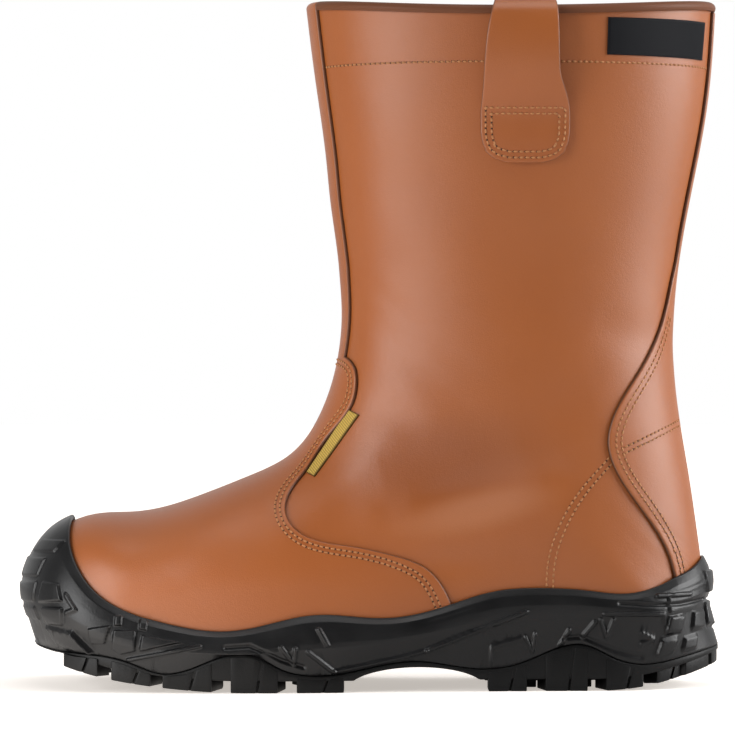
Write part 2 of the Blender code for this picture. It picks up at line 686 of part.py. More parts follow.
def sole_foot(spot, normal):
    """Lower outer edge of the midsole at one place round the foot."""
    toe = toe_share(spot, normal)
    backward = max(normal[0], 0.0) ** 3
    stand_out = SOLE_WALL[0][1] * (1 - toe) + SOLE_WALL[0][2] * toe + HEEL_FLARE * backward
    edge = spot + normal * stand_out
    return np.array([edge[0], edge[1], float(tread_height(edge[0]))])


def widest_near(values, steps, axis):
    """Largest value within some steps either way. Rows close in a ring; columns don't."""
    padding = [(0, 0), (0, 0)]
    padding[axis] = (steps, steps)
    padded = np.pad(values, padding, mode="wrap" if axis == 0 else "edge")
    size = values.shape[axis]
    return np.max([np.take(padded, range(k, k + size), axis) for k in range(2 * steps + 1)], axis=0)


def cup_walls(tree, spots, normals, wall_steps, inner_steps):
    """Sections of the cup: each runs up the outer wall, over the rim and down to the floor."""
    count = len(spots)
    floors = floor_height(spots[:, 0])
    share, side_out, toe_out = np.array(SOLE_WALL).T
    profiles = [CupProfile(tree, s, n, f) for s, n, f in zip(spots, normals, floors)]
    lows = np.array([math.atan2(f - p.middle[2], p.INSIDE) for f, p in zip(floors, profiles)])
    rims = np.array([profile.rim_angle() for profile in profiles])
    rims = (np.roll(rims, 1) + 2 * rims + np.roll(rims, -1)) / 4
    fine = 4
    steps = np.linspace(0, 1, inner_steps * fine + 1)
    angles = lows[:, None] + (rims - lows)[:, None] * steps
    reach = np.array([[p.leather(a) for a in row] for p, row in zip(profiles, angles)])
    lowest = np.nanmin(reach, axis=1, keepdims=True)
    reach = np.where(np.isnan(reach), lowest, reach)
    toes = np.array([toe_share(s, n) for s, n in zip(spots, normals)])
    clear = widest_near(widest_near(reach, fine // 2, 1), 1, 0)[:, ::fine]
    clear += CUP_GAP + TOE_CUP_GAP * toes[:, None]
    angles = angles[:, ::fine]
    walls = []
    for i in range(count):
        profile = profiles[i]
        toe = toe_share(spots[i], normals[i])
        stand_out = side_out * (1 - toe) + toe_out * toe
        outer = [sole_foot(spots[i], normals[i])]
        for up in np.linspace(0, 1, wall_steps + 1)[1:]:
            angle = lows[i] + (rims[i] - lows[i]) * up
            out = np.interp(angle, angles[i], clear[i]) + np.interp(up, share, stand_out)
            outer.append(profile.middle + profile.ray(angle) * out)
        inner = [profile.middle + profile.ray(a) * r for a, r in zip(angles[i], clear[i])]
        walls.append(np.array(outer + inner[::-1]))
    return np.array(walls)


def spine_point(spot):
    """Point on the boot's middle line beside a place on the outline."""
    x = float(np.clip(spot[0], FOOT_TOE_X + SPINE_TOE, FOOT_HEEL_X - SPINE_HEEL))
    outer, inner = foot_edge(x)
    return np.array([x, (outer[0] + inner[0]) / 2])


def base_height(x):
    """Height of the midsole's underside, away from its wavy edge."""
    return min(float(tread_height(x)), float(floor_height(x)) - SOLE_FLOOR)


def base_line(spot, normal):
    """Underside of the midsole at one place round the foot: middle, under the foot's edge, edge."""
    middle = spine_point(spot)
    under = spot + normal * UNDER_EDGE
    under_z = base_height(under[0])
    return [[*middle, base_height(middle[0])], [*under, under_z], sole_foot(spot, normal)]


def make_midsole(tree, spots, normals, collection, parent):
    """Moulded sole unit: a cup round the foot with a bumper over the toe."""
    walls = cup_walls(tree, spots, normals, wall_steps=5, inner_steps=5)
    rows = []
    for wall, spot, normal in zip(walls, spots, normals):
        middle = spine_point(spot)
        floor = [*middle, float(floor_height(middle[0]))]
        rows.append(np.concatenate([base_line(spot, normal)[:2], wall, [floor]]))
    mesh = grid_mesh("midsole", np.array(rows), closed_rows=True, split=True)
    return add_object("midsole", mesh, MOULDED, collection, parent)


def add_pad(shape, tree, start, way, size, slant):
    """Adds one raised pad to a mesh, sunk into the wall that a ray meets."""
    hit, normal = tree.ray_cast(Vector(start), Vector(way))[:2]
    out = np.array(normal)
    along = np.cross([0, 0, 1.0], out)
    along /= np.linalg.norm(along)
    up = np.cross(out, along)
    turn = math.radians(slant) * (1 if start[1] < 0 else -1)
    long_way = along * math.cos(turn) + up * math.sin(turn)
    high_way = up * math.cos(turn) - along * math.sin(turn)
    block = bmesh.ops.create_cube(shape, size=1.0)["verts"]
    for corner in block:
        a, b, c = corner.co
        taper = 1.0 if c < 0 else PAD_TAPER
        spot = np.array(hit) + long_way * a * size[0] * taper + high_way * b * size[1] * taper
        corner.co = (spot + out * (PAD_RISE if c > 0 else PAD_RISE - PAD_DEPTH)) * MM


def make_pads(midsole, cutters):
    """Raised pads of the sole's side, fused to the midsole."""
    tree = tree_of([midsole])
    shape = bmesh.new()
    for x, z, length, height, slant in SIDE_PADS:
        for side in (-1, 1):
            add_pad(shape, tree, (x, side * CUTTER_REACH, z), (0, -side, 0), (length, height), slant)
    for x, y, direction, z, length, height in END_PADS:
        for side in (-1, 1) if direction % 180 else (1,):
            angle = math.radians(direction)
            way = np.array([math.cos(angle), -side * math.sin(angle), 0])
            start = np.array([x, y, z]) - way * CUTTER_REACH
            add_pad(shape, tree, start, way, (length, height), 0.0)
    bmesh.ops.recalc_face_normals(shape, faces=shape.faces)
    mesh = bpy.data.meshes.new("pads")
    shape.to_mesh(mesh)
    shape.free()
    join_all(midsole, [add_object("pads", mesh, None, cutters)])


def tread_base(x):
    """Height of the outsole's underside between the lugs."""
    lift = np.clip(arch_lift(x) - LUG_DEPTH, 0, None)
    return ground_height(x) + LUG_DEPTH + lift


def make_plate(spots, normals, collection, parent):
    """The outsole without its lugs."""
    rows = []
    for spot, normal in zip(spots, normals):
        top = np.array(base_line(spot, normal)) - np.array([0, 0, LAYER_GAP])
        bottom = top[[2, 0]]
        bottom[:, 2] = np.minimum(tread_base(bottom[:, 0]), bottom[:, 2] - PLATE_LEAST)
        rows.append(np.concatenate([top, bottom]))
    mesh = grid_mesh("outsole", np.array(rows), closed_rows=True, flip=True, split=True)
    return add_object("outsole", mesh, TREAD, collection, parent)


def sole_edge(x, side):
    """Outer edge of the sole in plan at x, on the outer (-1) or inner (1) side."""
    outer, inner = foot_edge(np.clip(x, FOOT_TOE_X + LUG_TOE, FOOT_HEEL_X - LUG_HEEL))
    y = outer if side < 0 else inner
    return y + side * (SOLE_WALL[0][1] - LUG_INSET)


def lug_prism(shape, plan):
    """Adds one lug to a mesh: a plan polygon, from inside the plate down to the ground."""
    plan = np.array(plan)
    ground = ground_height(plan[:, 0])
    top = tread_base(plan[:, 0]) + LUG_SINK
    low = [shape.verts.new(np.array([x, y, z]) * MM) for (x, y), z in zip(plan, ground)]
    high = [shape.verts.new(np.array([x, y, z]) * MM) for (x, y), z in zip(plan, top)]
    shape.faces.new(low)
    shape.faces.new(high[::-1])
    for i in range(len(plan)):
        k = (i + 1) % len(plan)
        shape.faces.new((low[i], high[i], high[k], low[k]))


def lug_plans():
    """Plan polygons of all lugs, each running clockwise seen from above."""
    plans = []
    for start, end, depth, skew in SIDE_LUGS:
        for side in (-1, 1):
            x = np.array([start, (start + end) / 2, end])
            edge = np.stack([x, sole_edge(x, side)], 1)
            inner_x = np.array([end + skew, start + skew])
            inner_y = sole_edge(inner_x, side) - side * depth
            plan = np.concatenate([edge, np.stack([inner_x, inner_y], 1)])
            plans.append(plan if side > 0 else plan[::-1])
    for tip, length, half_width, sweep in CHEVRONS:
        middle = float(spine_point([tip, 0.0])[1])
        ends = ((sweep, half_width), (sweep + length, half_width), (length, 0.0),
                (sweep + length, -half_width), (sweep, -half_width), (0.0, 0.0))
        plans.append(np.array([(tip + dx, middle + dy) for dx, dy in ends]))
    return plans


def make_outsole(spots, normals, collection, parent, cutters):
    """Tread: a plate with lugs along both edges and chevrons between them."""
    plate = make_plate(spots, normals, collection, parent)
    shape = bmesh.new()
    for plan in lug_plans():
        lug_prism(shape, plan)
    bmesh.ops.recalc_face_normals(shape, faces=shape.faces)
    mesh = bpy.data.meshes.new("lugs")
    shape.to_mesh(mesh)
    shape.free()
    lugs = add_object("lugs", mesh, None, cutters)
    join_all(plate, [lugs])
    return plate


def make_insole(collection, parent):
    """Footbed that lies on the sole's floor inside the upper."""
    spots, normals = foot_outline(INSOLE_PAIRS)
    rows = []
    for spot, normal in zip(spots, normals):
        middle = spine_point(spot)
        edge = spot - normal * INSOLE_INSET
        low = float(floor_height(spot[0])) + 2 * LAYER_GAP
        low_middle = float(floor_height(middle[0])) + LAYER_GAP
        top_edge = edge - normal * INSOLE_BEVEL
        rows.append([[*middle, low_middle], [*edge, low], [*edge, low + INSOLE * INSOLE_SIDE],
                     [*top_edge, low + INSOLE], [*middle, low_middle + INSOLE]])
    mesh = grid_mesh("insole", np.array(rows), closed_rows=True)
    return add_object("insole", mesh, FOOTBED, collection, parent)


# Collar and pull loops

def rim_fold(around, face, outside, inside):
    """Points over the collar's rim at a height above the leather, from outside to inside.

    face is the height above the leather. outside and inside are how far the fold comes down.
    """
    last = LAST_KNOTS[-1]
    rise = last_point(last, around)[2] - last_point(last - RIM_STEP, around)[2]
    along = np.linspace(last - outside * RIM_STEP / rise, last, 2)
    wall = [raised_point(place, around, face) for place in along]
    rim = raised_point(last, around, 0.0)
    normal = face_normal(last, around) * np.array([1, 1, 0])
    normal /= np.linalg.norm(normal)
    centre = rim - normal * WALL / 2
    half = WALL / 2 + face
    over = [centre + normal * half * math.cos(t) + np.array([0, 0, RIM_LIFT + face * math.sin(t)])
            for t in np.linspace(0, math.pi, RIM_BENDS + 2)[1:-1]]
    down = [raised_point(place, around, -WALL - face) for place in (last, last - inside)]
    return np.array(wall + over + down)


def make_binding(name, side, collection, parent):
    """Rolled binding on one side of the collar, between the front and back strips."""
    section = last_row(LAST_KNOTS[-1:])[0]
    front = math.asin((FRONT_STRIP[0] + BINDING_START) / section[5]) / math.pi
    back = 1 - BINDING_GAP
    inner = [t for t in COLUMNS if front + LINE_CLEAR < t < back - LINE_CLEAR]
    turns = [front, *inner, back]
    face = RIM_SEAT + BINDING
    grid = np.array([rim_fold(side * t, face, BINDING_DROP, BINDING_DROP) for t in turns])
    mesh = grid_mesh(name, grid, flip=side > 0)
    binding = add_object(name, mesh, BINDING_LEATHER, collection, parent)
    thicken(binding, BINDING)
    return binding


def side_spot(x, z, side):
    """Place along and around the last that shows at x and z on one side of the boot."""
    ends = np.array([station("ankle"), LAST_KNOTS[-1]])
    along = np.interp(z, last_row(ends)[:, 1], ends)
    around = 0.5 * side
    step_along, step_around = 0.5, 0.002
    for _ in range(12):
        here = last_point(along, around)
        d_along = (here - last_point(along - step_along, around)) / step_along
        d_around = (last_point(along, around + step_around) - here) / step_around
        matrix = np.array([[d_along[0], d_around[0]], [d_along[2], d_around[2]]])
        step = np.linalg.solve(matrix, np.array([x - here[0], z - here[2]]))
        along = float(np.clip(along + np.clip(step[0], -20, 20), 1, LAST_KNOTS[-1]))
        around = float(np.clip(around + np.clip(step[1], -0.1, 0.1), -0.99, 0.99))
    return along, around


def make_loop(name, side, collection, parent):
    """Pull loop: a strap sewn on low outside, bowed off the shaft, over the rim and inside."""
    columns = np.linspace(-1, 1, LOOP_COLUMNS)
    rows = []
    for z, half_width, height in LOOP_PATH:
        line = []
        for column in columns:
            along, around = side_spot(LOOP_X + column * half_width, min(z, COLLAR_Z), side)
            point = last_point(along, around)
            normal = face_normal(along, around)
            normal[2] = 0
            line.append(point + normal * height + np.array([0, 0, max(z - COLLAR_Z, 0)]))
        rows.append(line)
    grid = np.array(rows)
    mesh = grid_mesh(name, grid, flip=side < 0)
    loop = add_object(name, mesh, LEATHER, collection, parent)
    thicken(loop, LOOP_THICKNESS)
    return loop


def make_patch(name, corners, shape, finish, collection, parent, side=-1):
    """Small flat patch on the outer side, from four corners given as x and z."""
    (ax, az), (bx, bz), (cx, cz), (dx, dz) = corners
    rows, columns = shape
    grid = np.empty((rows, columns, 3))
    for i, up in enumerate(np.linspace(0, 1, rows)):
        for j, over in enumerate(np.linspace(0, 1, columns)):
            x = (ax + (bx - ax) * over) * (1 - up) + (dx + (cx - dx) * over) * up
            z = (az + (bz - az) * over) * (1 - up) + (dz + (cz - dz) * over) * up
            grid[i, j] = raised_point(*side_spot(x, z, side), SEAT + PATCH)
    patch = add_object(name, grid_mesh(name, grid, flip=side < 0), finish, collection, parent)
    thicken(patch, PATCH)
    return patch


def main():
    for old in list(bpy.data.objects):
        bpy.data.objects.remove(old, do_unlink=True)
    boot = bpy.data.collections.new("safety_boot")
    cutters = bpy.data.collections.new("cutters")
    bpy.context.scene.collection.children.link(boot)
    bpy.context.scene.collection.children.link(cutters)
    root = bpy.data.objects.new("boot_root", None)
    boot.objects.link(root)
    upper = make_upper(boot, root)
    vamp = make_vamp(boot, root, cutters)
    counter = make_counter(boot, root, cutters)
    make_front_strip(boot, root)
    bpy.context.view_layer.update()
    tree = tree_of([upper, vamp, counter])
    spots, normals = foot_outline(SOLE_PAIRS)
    midsole = make_midsole(tree, spots, normals, boot, root)
    bpy.context.view_layer.update()
    make_pads(midsole, cutters)
    make_outsole(spots, normals, boot, root, cutters)
    make_insole(boot, root)
    make_binding("collar_binding_outer", -1, boot, root)
    make_binding("collar_binding_inner", 1, boot, root)
    make_loop("pull_loop_outer", -1, boot, root)
    make_loop("pull_loop_inner", 1, boot, root)
    make_patch("shaft_label", LABEL_CORNERS, (2, 7), BLACK_SATIN, boot, root)
    make_patch("vamp_tag", TAG_CORNERS, (5, 2), GOLD_WEAVE, boot, root)
    for helper in cutters.objects:
        helper.hide_render = True
        helper.display_type = "WIRE"
    bpy.context.view_layer.update()


main()
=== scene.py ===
import math

import bmesh
import bpy
import numpy as np
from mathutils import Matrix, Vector
from mathutils.bvhtree import BVHTree


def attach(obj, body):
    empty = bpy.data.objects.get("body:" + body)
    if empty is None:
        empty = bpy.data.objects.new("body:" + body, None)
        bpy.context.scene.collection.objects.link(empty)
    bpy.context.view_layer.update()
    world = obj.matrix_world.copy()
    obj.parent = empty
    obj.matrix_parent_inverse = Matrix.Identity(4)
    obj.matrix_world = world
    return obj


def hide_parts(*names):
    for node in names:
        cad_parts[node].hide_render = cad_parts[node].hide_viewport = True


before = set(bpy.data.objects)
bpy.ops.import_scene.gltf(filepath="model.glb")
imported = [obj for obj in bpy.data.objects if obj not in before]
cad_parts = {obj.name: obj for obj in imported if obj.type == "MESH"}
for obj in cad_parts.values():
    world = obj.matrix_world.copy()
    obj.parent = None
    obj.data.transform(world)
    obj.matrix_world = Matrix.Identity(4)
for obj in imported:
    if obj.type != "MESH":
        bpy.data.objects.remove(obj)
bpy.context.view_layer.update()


# Studio: a white paper floor under a soft box on the toe side, a stronger one on the heel side and one
# above, with bright air in front. The paper glows. In the camera's view it glows dimmer near the boot, so
# that the shade under the boot shows there, and its warm tint is painted into that shade. For the light
# it throws on the boot it is greyer and glows in a pool beside the toe. The camera stands level with the
# middle of the boot and looks straight at its outer side, from as far off as the photograph's perspective
# shows.
CAMERA_DISTANCE = 1.8
CAMERA_HEIGHT = 0.1381
FRAME_WIDTH = 0.3208
SENSOR_MM = 36.0
SWEEP_HALF = 8.0
WHITE = (1.0, 1.0, 1.0, 1.0)
SOFT_BOXES = (
    # name, place, target, width, height, watts
    ("toe_side_soft_box", (-1.05, -0.86, 0.42), (0.0, 0.0, 0.1), 0.85, 1.0, 13.6),
    ("heel_side_soft_box", (1.35, -0.1, 0.62), (0.08, 0.0, 0.1), 0.9, 1.1, 22.2),
    ("top_soft_box", (0.1, -0.25, 1.7), (0.0, 0.0, 0.1), 1.2, 0.9, 8.0),
)
AIR_LIGHT = (0.1, -0.9, 0.04, 0.76)     # y of the way from behind to the front, and the air's light there
POOL_PLACE = (-0.22, -0.18, 0.0)        # the floor glows most in a pool beside the toe
POOL_LIGHT = (0.0, 0.25, 2.9, 0.06)     # distance from its middle, and the glow
# In the camera's view the paper glows dimmer near the boot, which sets how dark the shade under it shows.
PAPER_SEEN = (0.12, 0.9, 0.52, 1.15)    # distance from the boot, and the glow in the camera's view
# The paper's colour for the light it throws back (greyer) and in the camera's view, and its glow's colour:
# their warm tint is painted into the shade under the boot.
PAPER_TONE = (0.62, 0.61, 0.60, 1.0)
PAPER_TONE_SEEN = (0.93, 0.905, 0.88, 1.0)
PAPER_GLOW = (1.0, 0.93, 0.86, 1.0)


def fill(tree, node, inputs):
    """Sets a node's inputs to values, or links them to the outputs of other nodes."""
    for key, value in inputs.items():
        if isinstance(value, bpy.types.NodeSocket):
            tree.links.new(value, node.inputs[key])
        else:
            node.inputs[key].default_value = value


def add_node(tree, kind, settings=None, inputs=None):
    """Shader or geometry node with its settings and inputs."""
    node = tree.nodes.new(kind)
    for key, value in (settings or {}).items():
        setattr(node, key, value)
    fill(tree, node, inputs or {})
    return node


def ranged(tree, value, from_min, from_max, to_min, to_max):
    """Value carried over from one range to another."""
    return add_node(tree, "ShaderNodeMapRange", None,
                    {"Value": value, "From Min": from_min, "From Max": from_max,
                     "To Min": to_min, "To Max": to_max}).outputs["Result"]


def mixed(tree, share, first, second):
    """Colour between two colours."""
    return add_node(tree, "ShaderNodeMix", {"data_type": "RGBA"},
                    {"Factor": share, "A": first, "B": second}).outputs["Result"]


def object_place(tree):
    """Place on a piece, in its own coordinates."""
    return add_node(tree, "ShaderNodeTexCoord").outputs["Object"]


def new_material(name):
    """Material with its node tree and its Principled shader."""
    material = bpy.data.materials.new(name)
    material.use_nodes = True
    return material, material.node_tree, material.node_tree.nodes["Principled BSDF"]


camera_data = bpy.data.cameras.new("studio_camera")
camera_data.sensor_width = SENSOR_MM
camera_data.lens = SENSOR_MM * CAMERA_DISTANCE / FRAME_WIDTH
camera_data.clip_end = 60.0
camera = bpy.data.objects.new("studio_camera", camera_data)
camera.location = (0.0, -CAMERA_DISTANCE, CAMERA_HEIGHT)
camera.rotation_euler = (math.pi / 2, 0.0, 0.0)
bpy.context.scene.collection.objects.link(camera)
bpy.context.scene.camera = camera
bpy.context.scene.view_settings.view_transform = "Standard"

for name, place, target, width, height, watts in SOFT_BOXES:
    light = bpy.data.lights.new(name, "AREA")
    light.shape = "RECTANGLE"
    light.size, light.size_y = width, height
    light.energy = watts
    lamp = bpy.data.objects.new(name, light)
    lamp.location = place
    lamp.rotation_euler = (Vector(target) - Vector(place)).to_track_quat("-Z", "Y").to_euler()
    bpy.context.scene.collection.objects.link(lamp)

world = bpy.data.worlds.new("studio_air")
world.use_nodes = True
air = world.node_tree
air_way = add_node(air, "ShaderNodeNewGeometry").outputs["Incoming"]
air_y = add_node(air, "ShaderNodeSeparateXYZ", None, {0: air_way}).outputs["Y"]
air_light = add_node(air, "ShaderNodeBackground", None,
                     {"Color": WHITE, "Strength": ranged(air, air_y, *AIR_LIGHT)})
air_seen = air.nodes["Background"]
fill(air, air_seen, {"Color": WHITE, "Strength": 1.0})
air_path = add_node(air, "ShaderNodeLightPath").outputs["Is Camera Ray"]
air_mix = add_node(air, "ShaderNodeMixShader", None,
                   {0: air_path, 1: air_light.outputs[0], 2: air_seen.outputs[0]})
fill(air, air.nodes["World Output"], {"Surface": air_mix.outputs[0]})
bpy.context.scene.world = world

sweep_shape = bmesh.new()
bmesh.ops.create_grid(sweep_shape, x_segments=1, y_segments=1, size=SWEEP_HALF)
sweep_mesh = bpy.data.meshes.new("studio_floor")
sweep_shape.to_mesh(sweep_mesh)
sweep_shape.free()
floor = bpy.data.objects.new("studio_floor", sweep_mesh)
bpy.context.scene.collection.objects.link(floor)
paper, paper_tree, paper_shader = new_material("white_paper_with_painted_shade")
paper_path = add_node(paper_tree, "ShaderNodeLightPath").outputs["Is Camera Ray"]
paper_place = object_place(paper_tree)
from_pool = add_node(paper_tree, "ShaderNodeVectorMath", {"operation": "DISTANCE"},
                     {0: paper_place, 1: POOL_PLACE}).outputs["Value"]
from_boot = add_node(paper_tree, "ShaderNodeVectorMath", {"operation": "LENGTH"},
                     {0: paper_place}).outputs["Value"]
# The glow: in a pool by the toe for the light thrown on the boot, and in the camera's view dimmer near the
# boot, with a warm tint painted into the shade there.
paper_glow = ranged(paper_tree, paper_path, 0.0, 1.0, ranged(paper_tree, from_pool, *POOL_LIGHT),
                    ranged(paper_tree, from_boot, *PAPER_SEEN))
fill(paper_tree, paper_shader, {
    "Base Color": mixed(paper_tree, paper_path, PAPER_TONE, PAPER_TONE_SEEN), "Roughness": 0.9,
    "Specular IOR Level": 0.0, "Emission Color": PAPER_GLOW, "Emission Strength": paper_glow})
sweep_mesh.materials.append(paper)


# Upper: quarters and shaft, one hollow wall of tan box leather over a textile lining. It is lasted,
# so its sections run from the toe, over the instep and round the heel, up to the collar.
MM = 0.001
WALL = 2.0
COLLAR_Z = 289.4       # the collar's rim at the sides
COLLAR_RISE = 5.2      # how much higher it is at the front and the back
LAST = (
    # name, front x, front z, back x, back z, centre y, outer, inner, belly, squareness
    ("toe_edge", -144.5, 28.0, -96.0, 19.0, 7.0, 48.5, 40.0, 0.93, 2.25),
    ("toe_wall", -147.0, 38.0, -96.0, 18.9, 7.0, 49.0, 40.5, 0.92, 2.25),
    ("toe_front", -144.4, 52.0, -95.6, 18.8, 7.0, 49.4, 41.0, 0.90, 2.25),
    ("toe_crown", -136.5, 64.0, -95.0, 18.6, 7.0, 49.8, 41.4, 0.87, 2.2),
    ("toe_top", -124.0, 71.2, -93.5, 18.4, 6.8, 50.2, 41.8, 0.74, 2.2),
    ("toe_back", -104.0, 73.3, -87.0, 18.0, 6.2, 51.0, 42.6, 0.64, 2.2),
    ("vamp", -77.0, 79.2, -69.0, 17.2, 5.0, 52.0, 43.4, 0.60, 2.15),
    ("ball", -52.0, 89.0, -44.0, 16.5, 3.5, 51.6, 42.8, 0.62, 2.05),
    ("instep_low", -35.0, 97.3, -18.0, 18.0, 2.0, 48.6, 40.2, 0.66, 1.95),
    ("instep", -23.5, 109.5, 12.0, 22.0, 0.8, 45.0, 38.6, 0.74, 1.95),
    ("instep_high", -15.8, 125.5, 44.0, 26.5, 0.2, 43.2, 39.6, 0.66, 2.0),
    ("throat", -11.3, 142.5, 76.0, 29.5, 0.0, 43.0, 41.6, 0.58, 2.0),
    ("ankle", -9.6, 158.0, 106.0, 30.0, 0.0, 43.4, 42.8, 0.52, 2.0),
    ("heel_base", -9.7, 169.0, 130.0, 30.8, 0.0, 43.6, 43.2, 0.50, 2.0),
    ("heel_back", -10.3, 178.0, 142.6, 41.0, 0.0, 43.6, 43.4, 0.49, 2.0),
    ("heel_swell", -11.2, 187.0, 143.0, 60.0, 0.0, 43.7, 43.6, 0.48, 2.0),
    ("heel_top", -12.8, 199.0, 138.8, 89.0, 0.0, 44.0, 44.0, 0.48, 2.0),
    ("tendon", -14.7, 213.0, 132.6, 130.0, 0.0, 45.2, 45.2, 0.48, 2.0),
    ("calf_low", -16.3, 229.0, 132.6, 170.0, 0.0, 47.2, 47.2, 0.49, 2.05),
    ("calf", -18.8, 248.0, 138.7, 210.0, 0.0, 50.4, 50.4, 0.49, 2.1),
    ("calf_high", -21.7, 268.0, 146.2, 250.0, 0.0, 53.6, 53.6, 0.50, 2.1),
    ("collar", -25.0, COLLAR_Z + COLLAR_RISE, 150.0, COLLAR_Z + COLLAR_RISE, 0.0, 56.5, 56.5, 0.50, 2.1),
)
CLOSED_FROM = "heel_back"   # from this section on, the upper closes round the back
DIPS_FROM = "calf_high"     # from this section on, the sides dip towards the collar's rim
HEEL_SOFT = 24.0            # how far the sections are blended where the heel turns, at the back
HEEL_BLEND = 32.0           # and over what length
HEEL_BLEND_ENDS = 2.2       # how many of those lengths are blended at all
HEEL_SIDE_SOFT = 0.8        # how much farther the blend reaches at the sides
HEEL_BACK_TURN = 0.15       # share of the turn over which that fades towards the back line
HEEL_SAMPLES = 13
FOOT_EDGE = (
    # x, outer y, inner y of the lower edge, before its ends are rounded
    (-145.0, -43.0, 45.0),
    (-100.0, -43.5, 45.5),
    (-70.0, -46.0, 46.0),
    (-45.0, -47.0, 44.2),
    (-15.0, -44.5, 38.5),
    (20.0, -39.5, 32.0),
    (55.0, -35.5, 30.0),
    (90.0, -33.5, 31.5),
    (143.0, -33.0, 33.0),
)
TOE_ROUND = (-88.0, -145.0, 7.0, 2.25)     # start x, end x, end y, squareness
HEEL_ROUND = (96.0, 142.6, 0.0, 2.2)
CREASES = (
    # x and z of both ends in side view, half-width, rise of the ridge (a trough is below zero)
    (10.0, 78.0, 82.0, 92.0, 8.0, -3.2),
    (-4.0, 92.0, 74.0, 104.0, 16.0, -2.4),
    (8.0, 53.0, 62.0, 57.0, 7.0, -1.0),
    (-34.0, 68.0, 8.0, 108.0, 8.0, 1.1),
    (-4.0, 124.0, 30.0, 112.0, 8.0, -0.6),
    (92.0, 158.0, 128.0, 148.0, 9.0, -0.7),
    (70.0, 116.0, 100.0, 128.0, 11.0, -0.6),
    (4.0, 172.0, 8.0, 270.0, 15.0, 0.7),
    (48.0, 150.0, 84.0, 210.0, 20.0, -0.9),
    (-60.0, 62.0, -44.0, 82.0, 9.0, -0.5),
    (-84.0, 44.0, -62.0, 70.0, 11.0, 0.4),
)
CREASE_ENDS = (0.12, 0.88)     # shares of a crease's length outside which it keeps its rise


def smooth_curve(knots, values):
    """Function of position along the natural cubic spline through a table's rows."""
    knots = np.asarray(knots, float)
    values = np.asarray(values, float).reshape(len(knots), -1)
    count = len(knots)
    gap = np.diff(knots)
    matrix = np.eye(count)
    right = np.zeros_like(values)
    for i in range(1, count - 1):
        matrix[i, i - 1:i + 2] = gap[i - 1], 2 * (gap[i - 1] + gap[i]), gap[i]
        right[i] = 6 * ((values[i + 1] - values[i]) / gap[i] - (values[i] - values[i - 1]) / gap[i - 1])
    bend = np.linalg.solve(matrix, right)

    def at(position):
        position = np.clip(np.atleast_1d(np.asarray(position, float)), knots[0], knots[-1])
        i = np.clip(np.searchsorted(knots, position) - 1, 0, count - 2)
        h = gap[i][:, None]
        a = (knots[i + 1] - position)[:, None] / h
        b = 1 - a
        curve = (a ** 3 - a) * bend[i] + (b ** 3 - b) * bend[i + 1]
        return a * values[i] + b * values[i + 1] + curve * h ** 2 / 6

    return at


def chord_lengths(points):
    """Distance along a row of points, from its start to each point."""
    return np.concatenate([[0], np.cumsum(np.linalg.norm(np.diff(points, axis=0), axis=1))])


def dense_line(points, count=300):
    """Many points, evenly spaced, along the smooth curve through a short list of points."""
    points = np.asarray(points, float)
    along = chord_lengths(points)
    return smooth_curve(along, points)(np.linspace(0, along[-1], count))


LAST_NAMES = [row[0] for row in LAST]
LAST_VALUES = np.array([row[1:] for row in LAST], float)
LAST_KNOTS = chord_lengths(LAST_VALUES[:, 0:2]) + chord_lengths(LAST_VALUES[:, 2:4])
LAST_END = LAST_KNOTS[-1]
last_row = smooth_curve(LAST_KNOTS, LAST_VALUES)
edge_row = smooth_curve([row[0] for row in FOOT_EDGE], [row[1:] for row in FOOT_EDGE])


def station(name):
    """Distance along the last of a named section."""
    return LAST_KNOTS[LAST_NAMES.index(name)]


def foot_edge(x):
    """Outer and inner y of the upper's lower edge at x."""
    x = np.atleast_1d(np.asarray(x, float))
    outer, inner = edge_row(x).T
    for start, end, end_y, squareness in (TOE_ROUND, HEEL_ROUND):
        share = np.clip((x - start) / (end - start), 0, 1)
        share = (1 - share ** squareness) ** (1 / squareness)
        outer = end_y + (outer - end_y) * share
        inner = end_y + (inner - end_y) * share
    return outer, inner


def section_point(along, around):
    """Point on a section, in mm. around is 0 on the front line and -1 or 1 at the back or foot edge."""
    along, around = np.broadcast_arrays(np.asarray(along, float), np.asarray(around, float))
    shape = along.shape
    along, around = along.ravel(), around.ravel()
    row = last_row(along)
    front, back, centre = row[:, 0:2], row[:, 2:4], row[:, 4]
    belly, square = row[:, 7], row[:, 8]
    outer_edge, inner_edge = foot_edge(back[:, 0])
    outside = around < 0
    width = np.where(outside, row[:, 5], row[:, 6])
    foot = np.where(outside, centre - outer_edge, inner_edge - centre)
    foot = np.where(along >= station(CLOSED_FROM), 0.0, np.clip(foot, 0, width))
    turn = np.abs(around)
    upper_turn = np.clip(turn, 0, 0.5) * math.pi
    lower_turn = np.clip(turn - 0.5, 0, 0.5) * math.pi
    power = 2 / square
    share_up = belly * (1 - np.cos(upper_turn).clip(0) ** power)
    share_down = belly + (1 - belly) * np.sin(lower_turn)
    y_up = width * np.sin(upper_turn) ** power
    y_down = foot + (width - foot) * np.cos(lower_turn).clip(0)
    share = np.where(turn < 0.5, share_up, share_down)
    y = np.where(turn < 0.5, y_up, y_down)
    spot = front + (back - front) * share[:, None]
    y = centre + np.where(outside, -y, y)
    dips_from = station(DIPS_FROM)
    near_rim = np.clip((along - dips_from) / (LAST_END - dips_from), 0, 1) ** 2
    z = spot[:, 1] - COLLAR_RISE * near_rim * np.sin(math.pi * turn) ** 2
    return np.stack([spot[:, 0], y, z], axis=1).reshape(*shape, 3)


